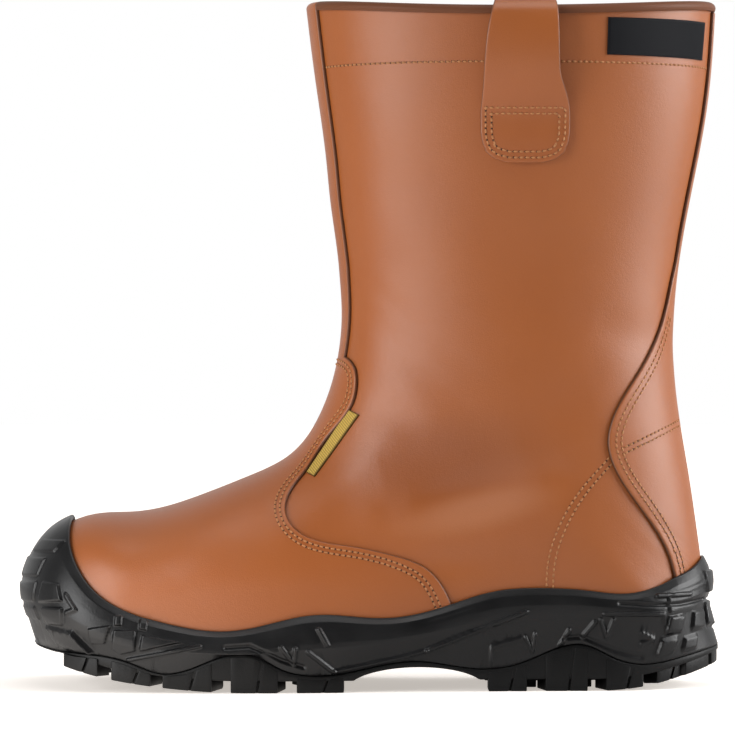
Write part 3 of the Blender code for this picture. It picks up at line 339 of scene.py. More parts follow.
def last_point(along, around):
    """Point on the last, in mm, with the sections blended where the heel turns."""
    along, around = np.broadcast_arrays(np.asarray(along, float), np.asarray(around, float))
    point = section_point(along, around)
    away = along - station(CLOSED_FROM)
    near = np.abs(away) < HEEL_BLEND_ENDS * HEEL_BLEND
    if near.any():
        side_share = np.clip((1 - np.abs(around[near])) / HEEL_BACK_TURN, 0, 1)
        reach = HEEL_SOFT * (1 + HEEL_SIDE_SOFT * side_share) * np.exp(-(away[near] / HEEL_BLEND) ** 2)
        shares = np.linspace(-1, 1, HEEL_SAMPLES + 2)[1:-1]
        weights = (1 - shares ** 2) / np.sum(1 - shares ** 2)
        point[near] = sum(weight * section_point(along[near] + share * reach, around[near])
                          for share, weight in zip(shares, weights))
    return point


def unit(vectors):
    """Vectors scaled to length 1."""
    return vectors / np.linalg.norm(vectors, axis=-1, keepdims=True).clip(1e-9)


def face_normal(along, around):
    """Outward unit normal of the last."""
    step_along, step_around = 0.6, 0.003
    along = np.clip(along, step_along, LAST_END - step_along)
    d_along = last_point(along + step_along, around) - last_point(along - step_along, around)
    d_around = last_point(along, around + step_around) - last_point(along, around - step_around)
    normal = np.cross(d_along, d_around)
    on_back_line = (np.abs(around) > 0.999) & (along >= station(CLOSED_FROM))
    normal[..., 1] = np.where(on_back_line, 0.0, normal[..., 1])
    return unit(normal)


def crease_rise(points):
    """Height of the soft ridges and troughs at points of the leather, in mm."""
    side_view = points[..., [0, 2]]
    rise = np.zeros(points.shape[:-1])
    for x0, z0, x1, z1, half_width, height in CREASES:
        start, way = np.array([x0, z0]), np.array([x1 - x0, z1 - z0])
        share = np.clip(((side_view - start) @ way) / (way @ way), 0, 1)
        away = np.linalg.norm(side_view - start - share[..., None] * way, axis=-1)
        fade = np.sin(np.pi * np.clip(share, *CREASE_ENDS))
        rise += height * fade * np.exp(-(away / half_width) ** 2)
    return rise


def leather_point(along, around, height):
    """Point at a height above the creased leather, in mm."""
    point = last_point(along, around)
    return point + face_normal(along, around) * (height + crease_rise(point))[..., None]


def mesh_from_grids(name, *grids):
    """One mesh of several lofts, each a grid of points in mm. Borders that meet are merged.

    A fourth number at a point is its raw-edge value, 1 on a cut edge.
    """
    shape = bmesh.new()
    raw = shape.verts.layers.float.new("raw_edge")
    for grid in grids:
        corners = [[shape.verts.new(point) for point in row] for row in grid[..., :3] * MM]
        if grid.shape[-1] == 4:
            for row, values in zip(corners, grid[..., 3]):
                for corner, value in zip(row, values):
                    corner[raw] = value
        for low, high in zip(corners[:-1], corners[1:]):
            for j in range(len(low) - 1):
                shape.faces.new((low[j], high[j], high[j + 1], low[j + 1]))
    bmesh.ops.remove_doubles(shape, verts=shape.verts, dist=0.004 * MM)
    bmesh.ops.dissolve_degenerate(shape, edges=shape.edges, dist=0.001 * MM)
    bmesh.ops.recalc_face_normals(shape, faces=shape.faces)
    mesh = bpy.data.meshes.new(name)
    shape.to_mesh(mesh)
    shape.free()
    mesh.shade_smooth()
    return mesh


def closed_sheet(name, face, back):
    """Mesh of a sheet with a face and a back of the same grid size, closed round its border."""
    rims = [np.stack([face[0], back[0]]), np.stack([face[-1], back[-1]]),
            np.stack([face[:, 0], back[:, 0]]), np.stack([face[:, -1], back[:, -1]])]
    return mesh_from_grids(name, face, back, *rims)


def add_piece(name, mesh, material, slot, *nodes):
    """Puts a finished mesh in the scene, riding on the boot in place of its plain solids."""
    piece = bpy.data.objects.new(name, mesh)
    if not mesh.materials:
        mesh.materials.append(material)
    bpy.context.scene.collection.objects.link(piece)
    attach(piece, "root")
    if nodes:
        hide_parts(*nodes)
    return piece


# Painted light on the outer quarter's creases: a darker patch painted as the shade above the ankle crease,
# and a paler, pinker patch painted as the highlight on its lower flank.
PAINTED_FOLD_LIGHT = (
    # middle of a fold, tilt about y, half-sizes, the painted shade or painted highlight colour there and
    # how much it shows
    ((0.028, -0.04, 0.098), -0.12, (0.062, 0.2, 0.028), (0.27, 0.070, 0.014, 1.0), 0.75),
    ((0.047, -0.04, 0.0770), -0.223, (0.044, 0.2, 0.0115), (0.48, 0.190, 0.090, 1.0), 0.6),
)


def noise(tree, place, scale, detail=2.0):
    """Cloudy values between 0 and 1."""
    return add_node(tree, "ShaderNodeTexNoise", None,
                    {"Vector": place, "Scale": scale, "Detail": detail}).outputs["Fac"]


def computed(tree, operation, *values):
    """Result of a sum, product or other operation."""
    return add_node(tree, "ShaderNodeMath", {"operation": operation}, dict(enumerate(values))).outputs[0]


def bumped(tree, height, strength, distance):
    """Normal of a surface with fine relief."""
    return add_node(tree, "ShaderNodeBump", None,
                    {"Height": height, "Strength": strength, "Distance": distance}).outputs["Normal"]


def marked(tree):
    """Raw-edge value of the mesh, 1 on a cut edge or a border."""
    return add_node(tree, "ShaderNodeAttribute", {"attribute_name": "raw_edge"}).outputs["Fac"]


def grain_and_painted_fold_light_group():
    """Grain of smooth box leather: fine pores, cloudy tone and uneven gloss, with folds painted darker as
    shade or paler as a highlight.
    """
    tree = bpy.data.node_groups.new("grain_and_painted_fold_light", "ShaderNodeTree")
    for way, kind, names in (("INPUT", "NodeSocketColor", ("Colour", "Dark")),
                             ("INPUT", "NodeSocketFloat", ("Pore Scale", "Gloss")),
                             ("OUTPUT", "NodeSocketColor", ("Colour",)),
                             ("OUTPUT", "NodeSocketFloat", ("Roughness", "Height"))):
        for name in names:
            tree.interface.new_socket(name, in_out=way, socket_type=kind)
    given = tree.nodes.new("NodeGroupInput").outputs
    place = object_place(tree)
    pores = add_node(tree, "ShaderNodeTexVoronoi", {"feature": "DISTANCE_TO_EDGE"},
                     {"Vector": place, "Scale": given["Pore Scale"]}).outputs["Distance"]
    fine = noise(tree, place, 900.0, 4.0)
    cloud = ranged(tree, noise(tree, place, 26.0, 3.0), 0.3, 0.75, 0.0, 0.3)
    toned = mixed(tree, cloud, given["Colour"], given["Dark"])
    # Mixes the painted shade and painted highlight of the creases into the leather's colour.
    for middle, tilt, half_sizes, colour, share in PAINTED_FOLD_LIGHT:
        fitted = add_node(tree, "ShaderNodeMapping", {"vector_type": "TEXTURE"},
                          {"Vector": place, "Location": middle, "Rotation": (0.0, tilt, 0.0),
                           "Scale": half_sizes})
        spot = add_node(tree, "ShaderNodeTexGradient", {"gradient_type": "SPHERICAL"},
                        {"Vector": fitted.outputs[0]})
        shown = add_node(tree, "ShaderNodeMapRange", {"interpolation_type": "SMOOTHSTEP"},
                         {"Value": spot.outputs["Fac"], "From Max": 0.8, "To Max": share})
        toned = mixed(tree, shown.outputs[0], toned, colour)
    shallow = computed(tree, "MINIMUM", pores, 0.12)
    fill(tree, tree.nodes.new("NodeGroupOutput"), {
        "Colour": toned, "Roughness": computed(tree, "MULTIPLY_ADD", fine, 0.10, given["Gloss"]),
        "Height": computed(tree, "MULTIPLY_ADD", fine, 0.35, shallow)})
    return tree


grain_and_painted_fold_light = grain_and_painted_fold_light_group()


def leather_material(name, colour, dark, edge_colour, gloss, pore_scale, bump, specular):
    """Leather with its grain and the painted shade and highlight of its creases, and raw cut edges where
    the mesh is marked.
    """
    material, tree, shader = new_material(name)
    # The grain group's colour holds the painted shade and highlight of the creases.
    grain = add_node(tree, "ShaderNodeGroup", {"node_tree": grain_and_painted_fold_light},
                     {"Colour": colour, "Dark": dark, "Pore Scale": pore_scale, "Gloss": gloss}).outputs
    fill(tree, shader, {
        "Base Color": mixed(tree, marked(tree), grain["Colour"], edge_colour),
        "Roughness": grain["Roughness"], "Normal": bumped(tree, grain["Height"], bump, 0.0003),
        "Specular IOR Level": specular})
    return material


tan_leather = leather_material("tan_leather", (0.385, 0.108, 0.023, 1.0), (0.32, 0.082, 0.016, 1.0),
                               (0.10, 0.040, 0.018, 1.0), 0.34, 1500.0, 0.5, 0.65)

UPPER_COLUMNS = 181
closing = station(CLOSED_FROM)
upper_along = np.concatenate([np.linspace(0, closing, 120)[:-1], np.linspace(closing, LAST_END, 90)])
upper_around = np.linspace(-1, 1, UPPER_COLUMNS)
outer_along, outer_around = np.meshgrid(upper_along, upper_around, indexing="ij")


def wall_layer(name, along, around, outside, inside):
    """Mesh of one layer of the upper's wall, between two heights, and the grid of its outer face."""
    face = leather_point(along, around, outside)
    back = leather_point(along, around, inside)
    rows = np.count_nonzero(along[:, 0] <= closing + 1e-6)
    rims = [np.stack([face[-1], back[-1]]), np.stack([face[0], back[0]]),
            np.stack([face[:rows, 0], back[:rows, 0]]), np.stack([face[:rows, -1], back[:rows, -1]])]
    return mesh_from_grids(name, face, back, *rims), face


upper_mesh, upper_face = wall_layer("upper_leather", outer_along, outer_around, 0.0, -WALL / 2)
add_piece("upper_leather", upper_mesh, tan_leather, "leather", "upper")


# Lining: a brushed textile glued to the inside of the upper, open at the collar and underneath.
# It is the inner half of the upper's wall.
LINING_COLOUR = (0.20, 0.155, 0.115, 1.0)
LINING_DARK = (0.13, 0.098, 0.072, 1.0)
LINING_GAP = 0.05


def textile_material(name, colour, dark, scale, bump, roughness):
    """Woven or brushed cloth: crossed ribs with uneven tone."""
    material, tree, shader = new_material(name)
    place = object_place(tree)
    turned = add_node(tree, "ShaderNodeMapping", None, {"Vector": place, "Rotation": (0.5, 0.6, 0.4)})
    warp, weft = (add_node(tree, "ShaderNodeTexWave", {"bands_direction": direction},
                           {"Vector": turned.outputs[0], "Scale": scale, "Distortion": 0.6}).outputs["Fac"]
                  for direction in ("X", "Z"))
    fuzz = noise(tree, place, 420.0, 5.0)
    tone = computed(tree, "MULTIPLY_ADD", computed(tree, "MULTIPLY", warp, weft), 0.6, fuzz)
    fill(tree, shader, {"Base Color": mixed(tree, tone, dark, colour), "Roughness": roughness,
                        "Normal": bumped(tree, tone, bump, 0.0004), "Sheen Weight": 0.25})
    return material


lining_mesh, _ = wall_layer("upper_lining", outer_along[::2, ::2], outer_around[::2, ::2],
                            -WALL / 2 - LINING_GAP, -WALL)
lining_cloth = textile_material("lining_textile", LINING_COLOUR, LINING_DARK, 260.0, 0.5, 0.9)
add_piece("upper_lining", lining_mesh, lining_cloth, "leather")


# Vamp: the front panel of the same leather, cut with a swan-necked edge. It is lapped over the shaft,
# sewn with two rows of thread, and pulled down round the toe into the sole.
OVERLAY = 1.7
LIP = 0.9              # width over which a cut edge is rounded
LIP_LEAST = 0.45       # share of its thickness that the cut edge keeps
RAW_WIDTH = 0.45       # width over which its dark colour fades
RAW_FULL = 1.15        # and how strong it starts
UNDER_LIFT = 0.1       # how far a panel's back lies above the leather
LIP_STEPS = (0.0, 0.12, 0.3, 0.6, 1.0, 1.7, 2.6)
FOOT_LIMIT = 0.97      # share of the turn at which the panel ends inside the sole
VAMP_EDGE = (
    # x, z
    (-14.5, 144.6), (-9.4, 143.0), (-5.6, 139.6), (-4.0, 132.0), (-6.8, 120.6), (-17.2, 107.0),
    (-26.4, 93.0),
    (-33.4, 83.4), (-35.0, 77.0), (-32.4, 70.2), (-22.0, 64.2), (-7.0, 61.8), (12.0, 57.8),
    (25.0, 52.6), (33.0, 43.0), (36.2, 35.0), (37.0, 30.5),
)
NECK_FROM, NECK_TO = 97.0, 139.0    # heights between which the edge bulges back over itself
NECK_LEAD = 4.0                     # how far below it its line is followed
NECK_TURNS = (0.11, 0.05)           # turns to which rows draw in from the neck's lower and upper end
NECK_EASE = 7                       # how fast they do, so that the panel doesn't fold over itself
VAMP_FRONT = ((37.0, 0.0), (-170.0, 0.0), (-170.0, 144.6))
VAMP_COLUMNS, VAMP_ROWS = 300, 84


def inside_outline(points, outline):
    """Which points, as x and z, lie inside a closed outline."""
    inside = np.zeros(points.shape[:-1], bool)
    for (x0, z0), (x1, z1) in zip(outline, np.roll(outline, -1, axis=0)):
        if z0 == z1:
            continue
        spans = (points[..., 1] > z0) != (points[..., 1] > z1)
        crossing = x0 + (points[..., 1] - z0) * (x1 - x0) / (z1 - z0)
        inside ^= spans & (points[..., 0] < crossing)
    return inside


def last_inside(test, start, end, steps=100):
    """Position up to which a test holds, for many lines at once, from start towards end."""
    places = start + (end - start) * np.linspace(0, 1, steps)[:, None]
    held = test(places)
    first_out = np.argmin(held, axis=0).clip(1)
    columns = np.arange(places.shape[1])
    low, high = places[first_out - 1, columns], places[first_out, columns]
    for _ in range(14):
        middle = (low + high) / 2
        good = test(middle[None])[0]
        low, high = np.where(good, middle, low), np.where(good, high, middle)
    return (low + high) / 2


def softened(values, reach):
    """Values smoothed along their first axis by a moving average, with the ends kept."""
    padded = np.concatenate([np.repeat(values[:1], reach), values, np.repeat(values[-1:], reach)])
    return np.convolve(padded, np.ones(2 * reach + 1) / (2 * reach + 1), mode="valid")


def evenly_spaced(along, around, count):
    """The same line on the leather with points at even distances."""
    length = chord_lengths(last_point(along, around))
    places = np.linspace(0, length[-1], count)
    return np.interp(places, length, along), np.interp(places, length, around)


def on_leather(targets, along, around):
    """Places along and around the last that lie nearest to given points."""
    for _ in range(6):
        here = last_point(along, around)
        d_along = last_point(along + 0.3, around) - here
        d_around = last_point(along, around + 0.002) - here
        d_along, d_around = d_along / 0.3, d_around / 0.002
        aa = (d_along ** 2).sum(-1)
        bb = (d_around ** 2).sum(-1)
        ab = (d_along * d_around).sum(-1)
        gap = targets - here
        ga, gb = (gap * d_along).sum(-1), (gap * d_around).sum(-1)
        det = np.maximum(aa * bb - ab ** 2, 1e-6)
        along = np.clip(along + (ga * bb - gb * ab) / det, 0.5, LAST_END - 0.5)
        around = np.clip(around + (gb * aa - ga * ab) / det, -1, 1)
    return along, around


def at_side_view(x, z, along, around):
    """Places along and around the last, near given ones, that show at x and z from the side."""
    for _ in range(30):
        here = last_point(along, around)
        d_along = (here - last_point(along - 0.5, around)) / 0.5
        d_around = (last_point(along, around + 0.002) - here) / 0.002
        det = d_along[..., 0] * d_around[..., 2] - d_around[..., 0] * d_along[..., 2]
        det = np.where(np.abs(det) < 1e-3, 1e-3, det)
        gx, gz = x - here[..., 0], z - here[..., 2]
        step_along = (gx * d_around[..., 2] - gz * d_around[..., 0]) / det
        step_around = (gz * d_along[..., 0] - gx * d_along[..., 2]) / det
        along = np.clip(along + np.clip(step_along, -20, 20), 1, LAST_END)
        around = np.clip(around + np.clip(step_around, -0.1, 0.1), -0.99, 0.99)
    return along, around


def beside(along, around, distance):
    """A line on the leather moved sideways, to the left as seen from outside going along it."""
    here = last_point(along, around)
    way = np.gradient(here, axis=0)
    across = unit(np.cross(face_normal(along, around), way))
    return on_leather(here + across * np.asarray(distance)[..., None], along, around)


def lip_share(distance):
    """Share of a panel's thickness at a distance from its cut edge."""
    near = np.clip(np.asarray(distance, float) / LIP, 0, 1)
    return LIP_LEAST + (1 - LIP_LEAST) * np.sqrt(1 - (1 - near) ** 2)


def raw_share(distance):
    """1 on a cut edge, 0 on the face of the leather."""
    return np.clip(RAW_FULL - np.asarray(distance, float) / RAW_WIDTH, 0, 1)


def with_raw(points, raw):
    """Points with the raw-edge value as a fourth number."""
    return np.concatenate([points, np.broadcast_to(raw, points.shape[:-1])[..., None]], axis=-1)


def overlay(name, along, around, from_edge):
    """Mesh of a panel lapped over the leather, by distance from its cut edge, and the grid of its face."""
    face = leather_point(along, around, OVERLAY * lip_share(from_edge))
    back = leather_point(along, around, UNDER_LIFT)
    return closed_sheet(name, with_raw(face, raw_share(from_edge)), with_raw(back, 1.0)), face


vamp_outline = np.concatenate([dense_line(VAMP_EDGE, 90), VAMP_FRONT])
vamp_around = np.linspace(-FOOT_LIMIT, FOOT_LIMIT, 1201)
vamp_reach = last_inside(
    lambda along: inside_outline(last_point(along, vamp_around)[..., [0, 2]], vamp_outline),
    np.full(vamp_around.shape, station("toe_top")), np.full(vamp_around.shape, station("heel_base")))
edge_along, edge_around = evenly_spaced(softened(vamp_reach, 4), vamp_around, VAMP_COLUMNS)
edge_z = last_point(edge_along, edge_around)[:, 2]
neck = (edge_z > NECK_FROM) & (edge_z < NECK_TO)
neck_line = dense_line(VAMP_EDGE)[::-1]
neck_line = neck_line[neck_line[:, 1] > NECK_FROM - NECK_LEAD]
neck_x = np.interp(edge_z[neck], neck_line[:, 1], neck_line[:, 0])
edge_along[neck], edge_around[neck] = at_side_view(
    neck_x, edge_z[neck], edge_along[neck], edge_around[neck])
vamp_edge = evenly_spaced(edge_along, edge_around, VAMP_COLUMNS)

panel = [beside(*vamp_edge, distance) for distance in LIP_STEPS]
along, around = panel[-1]
edge_z = last_point(*vamp_edge)[:, 2]
neck = np.flatnonzero((edge_z > NECK_FROM) & (edge_z < NECK_TO))
neck_low, neck_high = neck[0], neck[neck < VAMP_COLUMNS / 2][-1]
half_turns = np.interp(np.arange(VAMP_COLUMNS // 2), (0, neck_low, neck_high, (VAMP_COLUMNS - 1) / 2),
                       (FOOT_LIMIT, *NECK_TURNS, 0.0))
toe_around = np.concatenate([-half_turns, half_turns[::-1]])
for share in np.linspace(0, 1, VAMP_ROWS)[1:]:
    drawn_in = around + (toe_around - around) * (1 - (1 - share) ** NECK_EASE)
    panel.append((along * (1 - share), drawn_in))
panel_from_edge = np.array([*LIP_STEPS, *[LIP_STEPS[-1]] * (VAMP_ROWS - 1)])
vamp_mesh, vamp_face = overlay("vamp_leather", np.array([row[0] for row in panel]),
                               np.array([row[1] for row in panel]), panel_from_edge[:, None])
add_piece("vamp_leather", vamp_mesh, tan_leather, "leather", "vamp")


# Heel counter: the panel round the heel, of the same leather, with a narrow strip that covers the seam
# up the back of the shaft. It is sewn on top of the quarters along both of its edges.
BACK_STRIP = 8.0
BACK_STRIP_FROM = 150.0
BACK_STRIP_TOP = 292.4
COUNTER_EDGE = (
    # x, z
    (139.0, 205.0), (131.0, 176.0), (124.4, 151.5), (112.0, 130.0), (103.4, 113.0), (102.4, 105.0),
    (105.2, 95.0), (116.5, 77.5), (125.6, 64.5), (130.2, 54.0), (133.0, 40.0), (135.0, 25.0),
)
COUNTER_BACK = ((190.0, 25.0), (190.0, 205.0))
COUNTER_FOOT = 16.0            # how far along the last from the heel's base section it starts
COUNTER_TURNS = (0.999, 0.45)  # shares of the turn between which its edge is sought
COUNTER_ROWS, COUNTER_COLUMNS = 190, 48

counter_outline = np.concatenate([dense_line(COUNTER_EDGE, 80), COUNTER_BACK])
counter_top = np.interp(BACK_STRIP_TOP, last_row(upper_along)[:, 3], upper_along)
counter_along = np.linspace(station("heel_base") + COUNTER_FOOT, counter_top, 420)


def counter_edge(side):
    """Edge of the counter on one side, from the sole up, as places along and around the last."""
    def on_counter(turn):
        points = last_point(counter_along, side * turn)
        strip = (np.abs(points[..., 1]) < BACK_STRIP) & (points[..., 2] > BACK_STRIP_FROM)
        return strip | inside_outline(points[..., [0, 2]], counter_outline)

    turn = last_inside(on_counter, *(np.full(counter_along.shape, limit) for limit in COUNTER_TURNS))
    return evenly_spaced(counter_along, side * softened(turn, 6), COUNTER_ROWS)


counter_edges = {side: counter_edge(side) for side in (-1, 1)}
bands = {}
for side, edge in counter_edges.items():
    bands[side] = [beside(*edge, side * distance) for distance in LIP_STEPS]
outer_end, inner_end = bands[-1][-1], bands[1][-1]
columns = [(a, r, d) for (a, r), d in zip(bands[-1], LIP_STEPS)]
for share in np.linspace(0, 1, COUNTER_COLUMNS)[1:-1]:
    turned = (outer_end[1] + 1) * (1 - share) + (inner_end[1] - 1) * share
    along = outer_end[0] * (1 - share) + inner_end[0] * share
    columns.append((along, np.where(turned >= 0, turned - 1, turned + 1), LIP_STEPS[-1]))
columns += [(a, r, d) for (a, r), d in zip(bands[1][::-1], LIP_STEPS[::-1])]
counter_a = np.stack([column[0] for column in columns], axis=1)
counter_r = np.stack([column[1] for column in columns], axis=1)
counter_d = np.array([column[2] for column in columns])
counter_mesh, counter_face = overlay("counter_leather", counter_a, counter_r, counter_d[None])
add_piece("counter_leather", counter_mesh, tan_leather, "leather", "heel_counter")


# Front strip: a strap of the same leather over the seam at the front of the shaft. It comes up from
# under the vamp, is folded over the collar and sewn down inside. Its cut edges show dark.
FRONT_STRIP = (17.0, 11.5)     # half-width at the collar and at the vamp
STRIP_LOWEST = 140.0           # height at which it goes under the vamp
STRIP_OUTSIDE = 4.0            # how far its fold comes down outside the collar
STRIP_INSIDE = 9.0             # and inside
STRIP_EDGE = np.array([0.0, 0.25, 0.7])    # distances from a cut edge at which it is rounded
STRIP_FLAT = 1.6               # distance from which it is flat
RIM_LIFT = 0.6
COLLAR_HALF = LAST[-1][6]      # half-width of the collar


def below_rim(around, drop):
    """Place along the last that lies a drop in mm below the collar's rim."""
    rise = last_point(LAST_END, around)[2] - last_point(LAST_END - 5, around)[2]
    return LAST_END - drop * 5 / rise


def over_rim(around, height, outside, inside, bulge=0.0, steps=14):
    """Line over the collar's rim at a height above the leather, from outside to inside, in mm."""
    going_up = np.linspace(below_rim(around, outside), LAST_END, 8)
    share = np.linspace(0, 1, 8)
    wall = leather_point(going_up, np.full(8, around), height + bulge * np.sin(math.pi * share / 2))
    rim = wall[-1]
    normal = unit(face_normal(np.array([LAST_END]), np.array([around]))[0] * np.array([1, 1, 0]))
    half = WALL / 2 + height + bulge
    centre = rim - normal * half
    turns = np.linspace(0, math.pi, steps + 2)[1:-1]
    lift = RIM_LIFT * np.sin(turns) + (height + bulge) * np.sin(turns)
    over = centre + normal * (half * np.cos(turns))[:, None] + np.array([0, 0, 1]) * lift[:, None]
    going_down = np.linspace(LAST_END, below_rim(around, inside), 6)
    down = leather_point(going_down, np.full(6, around), -WALL - height - bulge)
    return np.concatenate([wall, over, down])


strip_low = np.interp(STRIP_LOWEST, last_row(upper_along)[:, 1], upper_along)
strip_along = np.linspace(strip_low, below_rim(0.0, STRIP_OUTSIDE + 1.0), 130)
strip_half = np.interp(strip_along, [strip_low, LAST_END], FRONT_STRIP[::-1])
strip_limit = np.arcsin(strip_half / last_row(strip_along)[:, 5]) / math.pi
strip_top = math.asin(FRONT_STRIP[0] / COLLAR_HALF) / math.pi
strip_width = 2 * FRONT_STRIP[0]
strip_places = np.concatenate([STRIP_EDGE, np.linspace(STRIP_FLAT, strip_width - STRIP_FLAT, 21),
                               strip_width - STRIP_EDGE[::-1]]) / FRONT_STRIP[0] - 1
strip_from_edge = (1 - np.abs(strip_places)) * FRONT_STRIP[0]


def strip_layer(heights):
    """Grid of the strip's face or back, at a height above the leather for each of its lines."""
    return np.array([np.concatenate([
        leather_point(strip_along, place * strip_limit, height),
        over_rim(place * strip_top, height, STRIP_OUTSIDE, STRIP_INSIDE)])
        for place, height in zip(strip_places, heights)])


strip_face = strip_layer(OVERLAY * lip_share(strip_from_edge))
strip_back = strip_layer(np.full(strip_places.shape, UNDER_LIFT))
strip_mesh = closed_sheet("front_strip_leather", with_raw(strip_face, raw_share(strip_from_edge)[:, None]),
                          with_raw(strip_back, 1.0))
add_piece("front_strip_leather", strip_mesh, tan_leather, "leather", "front_strip")


# Collar binding: a darker leather strip rolled over the rim on each side, between the front and the
# back strips, with its edges turned in.
BINDING = 1.4
BINDING_DROP = 1.6
BINDING_BULGE = 0.4
BINDING_GAP = 0.004
BINDING_START = 0.4     # how far beside the front strip it starts
brown_leather = leather_material("binding_leather", (0.165, 0.060, 0.028, 1.0),
                                 (0.12, 0.043, 0.020, 1.0), (0.04, 0.02, 0.012, 1.0), 0.42, 1800.0, 0.2,
                                 0.18)
binding_start = math.asin((FRONT_STRIP[0] + BINDING_START) / COLLAR_HALF) / math.pi
for side, node in ((-1, "collar_binding_outer"), (1, "collar_binding_inner")):
    turns = side * np.linspace(binding_start, 1 - BINDING_GAP, 170)
    face = np.array([over_rim(t, BINDING, BINDING_DROP, BINDING_DROP, BINDING_BULGE) for t in turns])
    back = np.array([over_rim(t, UNDER_LIFT, BINDING_DROP, BINDING_DROP) for t in turns])
    binding_mesh = closed_sheet(node + "_leather", face, back)
    add_piece(node + "_leather", binding_mesh, brown_leather, "binding_leather", node)


# Pull loops: a leather strap on each side, sewn to the shaft by a round-ended tab. It bows off the
# shaft, goes over the collar and is sewn down inside. Its cut edges show dark.
LOOP_X = 66.8
LOOP_THICKNESS = 1.53
LOOP_LIP = 0.6                 # how much lower its cut edge lies
LOOP_RAW = (0.85, 0.4)         # raw-edge value of its edges and of its back
LOOP_EDGE = np.array([0.0, 0.2, 0.55, 1.1])     # distances from an edge at which it is rounded
LOOP_FLAT = 2.0                # distance from which it is flat
LOOP_ROUND_Z = 231.0           # height below which the tab's end is round
LOOP_ROWS = 150
LOOP_PATH = (
    # z, reach forwards and backwards from its middle, height of its outer face above the shaft
    (225.0, 7.0, 7.0, 2.5), (226.4, 12.6, 12.6, 2.5), (229.6, 16.6, 16.6, 2.5),
    (235.0, 18.6, 18.6, 2.5), (247.0, 18.8, 18.8, 2.5), (251.0, 18.2, 18.0, 3.6),
    (257.0, 17.4, 15.6, 6.6), (262.0, 17.0, 13.4, 9.0), (270.0, 16.5, 12.9, 10.6),
    (280.0, 15.6, 12.8, 10.2), (287.0, 14.4, 12.7, 8.6), (291.2, 13.4, 12.6, 6.2),
    (293.6, 12.9, 12.5, 2.6), (294.1, 12.6, 12.4, -1.0), (293.4, 12.3, 12.3, -5.0),
    (289.8, 12.3, 12.3, -7.8), (284.0, 12.3, 12.3, -8.4), (274.0, 12.3, 12.3, -6.6),
    (262.0, 12.3, 12.3, -4.9), (247.0, 12.3, 12.3, -4.9),
)


def side_places(x, z, side):
    """Places along and around the last that show at x and z on one side of the boot."""
    x, z = np.asarray(x, float), np.asarray(z, float)
    along = np.interp(z, [30, 60, 150, COLLAR_Z],
                      [station("instep"), station("throat"), station("heel_top"), LAST_END])
    return at_side_view(x, z, along, np.full(x.shape, 0.5 * side))


def loop_inset(width):
    """Distances of the strap's lines from its front edge."""
    return np.concatenate([LOOP_EDGE, np.linspace(LOOP_FLAT, width - LOOP_FLAT, 19),
                           width - LOOP_EDGE[::-1]])


loop_path = np.array(LOOP_PATH)
loop_line = dense_line(loop_path[:, [0, 3]], LOOP_ROWS)
path_length = chord_lengths(loop_path[:, [0, 3]])
round_end = loop_line[:, 0] < LOOP_ROUND_Z
loop_front, loop_rear = (np.interp(chord_lengths(loop_line), path_length, loop_path[:, k]) for k in (1, 2))
loop_front = np.where(round_end, loop_front, softened(loop_front, 4))
loop_rear = np.where(round_end, loop_rear, softened(loop_rear, 4))
loop_faces = []
for side, node in ((-1, "pull_loop_outer"), (1, "pull_loop_inner")):
    face, raw = [], []
    for (z, height), front, rear in zip(loop_line, loop_front, loop_rear):
        width = front + rear
        inset = loop_inset(width)
        from_edge = np.minimum(inset, width - inset)
        along, around = side_places(LOOP_X - front + inset, np.full(inset.shape, min(z, COLLAR_Z)), side)
        normal = face_normal(along, around) * np.array([1, 1, 0])
        start = last_point(along, around) + np.array([0, 0, max(z - COLLAR_Z, 0)])
        top = height - LOOP_LIP * (1 - lip_share(from_edge))
        face.append(start + normal * top[:, None])
        raw.append(raw_share(from_edge) * LOOP_RAW[0])
    face = np.array(face)
    outward = -side * unit(np.cross(np.gradient(face, axis=1), np.gradient(face, axis=0)))
    back = face - outward * LOOP_THICKNESS
    loop_faces.append((face, outward))
    loop_mesh = closed_sheet(node + "_leather", with_raw(face, np.array(raw)), with_raw(back, LOOP_RAW[1]))
    add_piece(node + "_leather", loop_mesh, tan_leather, "leather", node)


# Label and tag: a black satin label sewn flat to the shaft near the back of the collar, and a small
# gold woven tag caught in the vamp's seam. Both are bare, with a woven border.
LABEL_CORNERS = ((101.7, 271.0), (144.1, 270.8), (145.4, 287.2), (102.1, 286.8))
TAG_CORNERS = ((-26.2, 92.8), (-22.6, 91.0), (-3.5, 117.7), (-8.1, 120.0))
PATCH_THICKNESS = 0.8
PATCH_EDGE = 0.6               # share of its thickness at the edge
PATCH_LIP = 0.5                # width over which the edge is rounded
PATCH_LIFT = 0.2               # how far it starts above the leather
PATCH_UNDER = 0.3              # and how far its back goes below that
BORDER_WIDTH = 0.4             # width over which the border's colour fades
BORDER_FULL = 1.4              # and how strong it starts


def patch_mesh(name, corners, rows, columns):
    """Thin patch on the outer side, from four corners, with its border marked as raw edge."""
    (ax, az), (bx, bz), (cx, cz), (dx, dz) = corners
    up, over = np.meshgrid(np.linspace(0, 1, rows), np.linspace(0, 1, columns), indexing="ij")
    x = (ax + (bx - ax) * over) * (1 - up) + (dx + (cx - dx) * over) * up
    z = (az + (bz - az) * over) * (1 - up) + (dz + (cz - dz) * over) * up
    along, around = side_places(x, z, -1)
    width = math.hypot(bx - ax, bz - az)
    tall = math.hypot(dx - ax, dz - az)
    from_edge = np.minimum(np.minimum(up, 1 - up) * tall, np.minimum(over, 1 - over) * width)
    rounded = PATCH_EDGE + (1 - PATCH_EDGE) * np.clip(from_edge / PATCH_LIP, 0, 1)
    height = PATCH_LIFT + PATCH_THICKNESS * rounded
    face = leather_point(along, around, height)
    back = leather_point(along, around, PATCH_LIFT - PATCH_UNDER)
    border = np.clip(BORDER_FULL - from_edge / BORDER_WIDTH, 0, 1)
    return closed_sheet(name, with_raw(face, border), with_raw(back, 1.0))


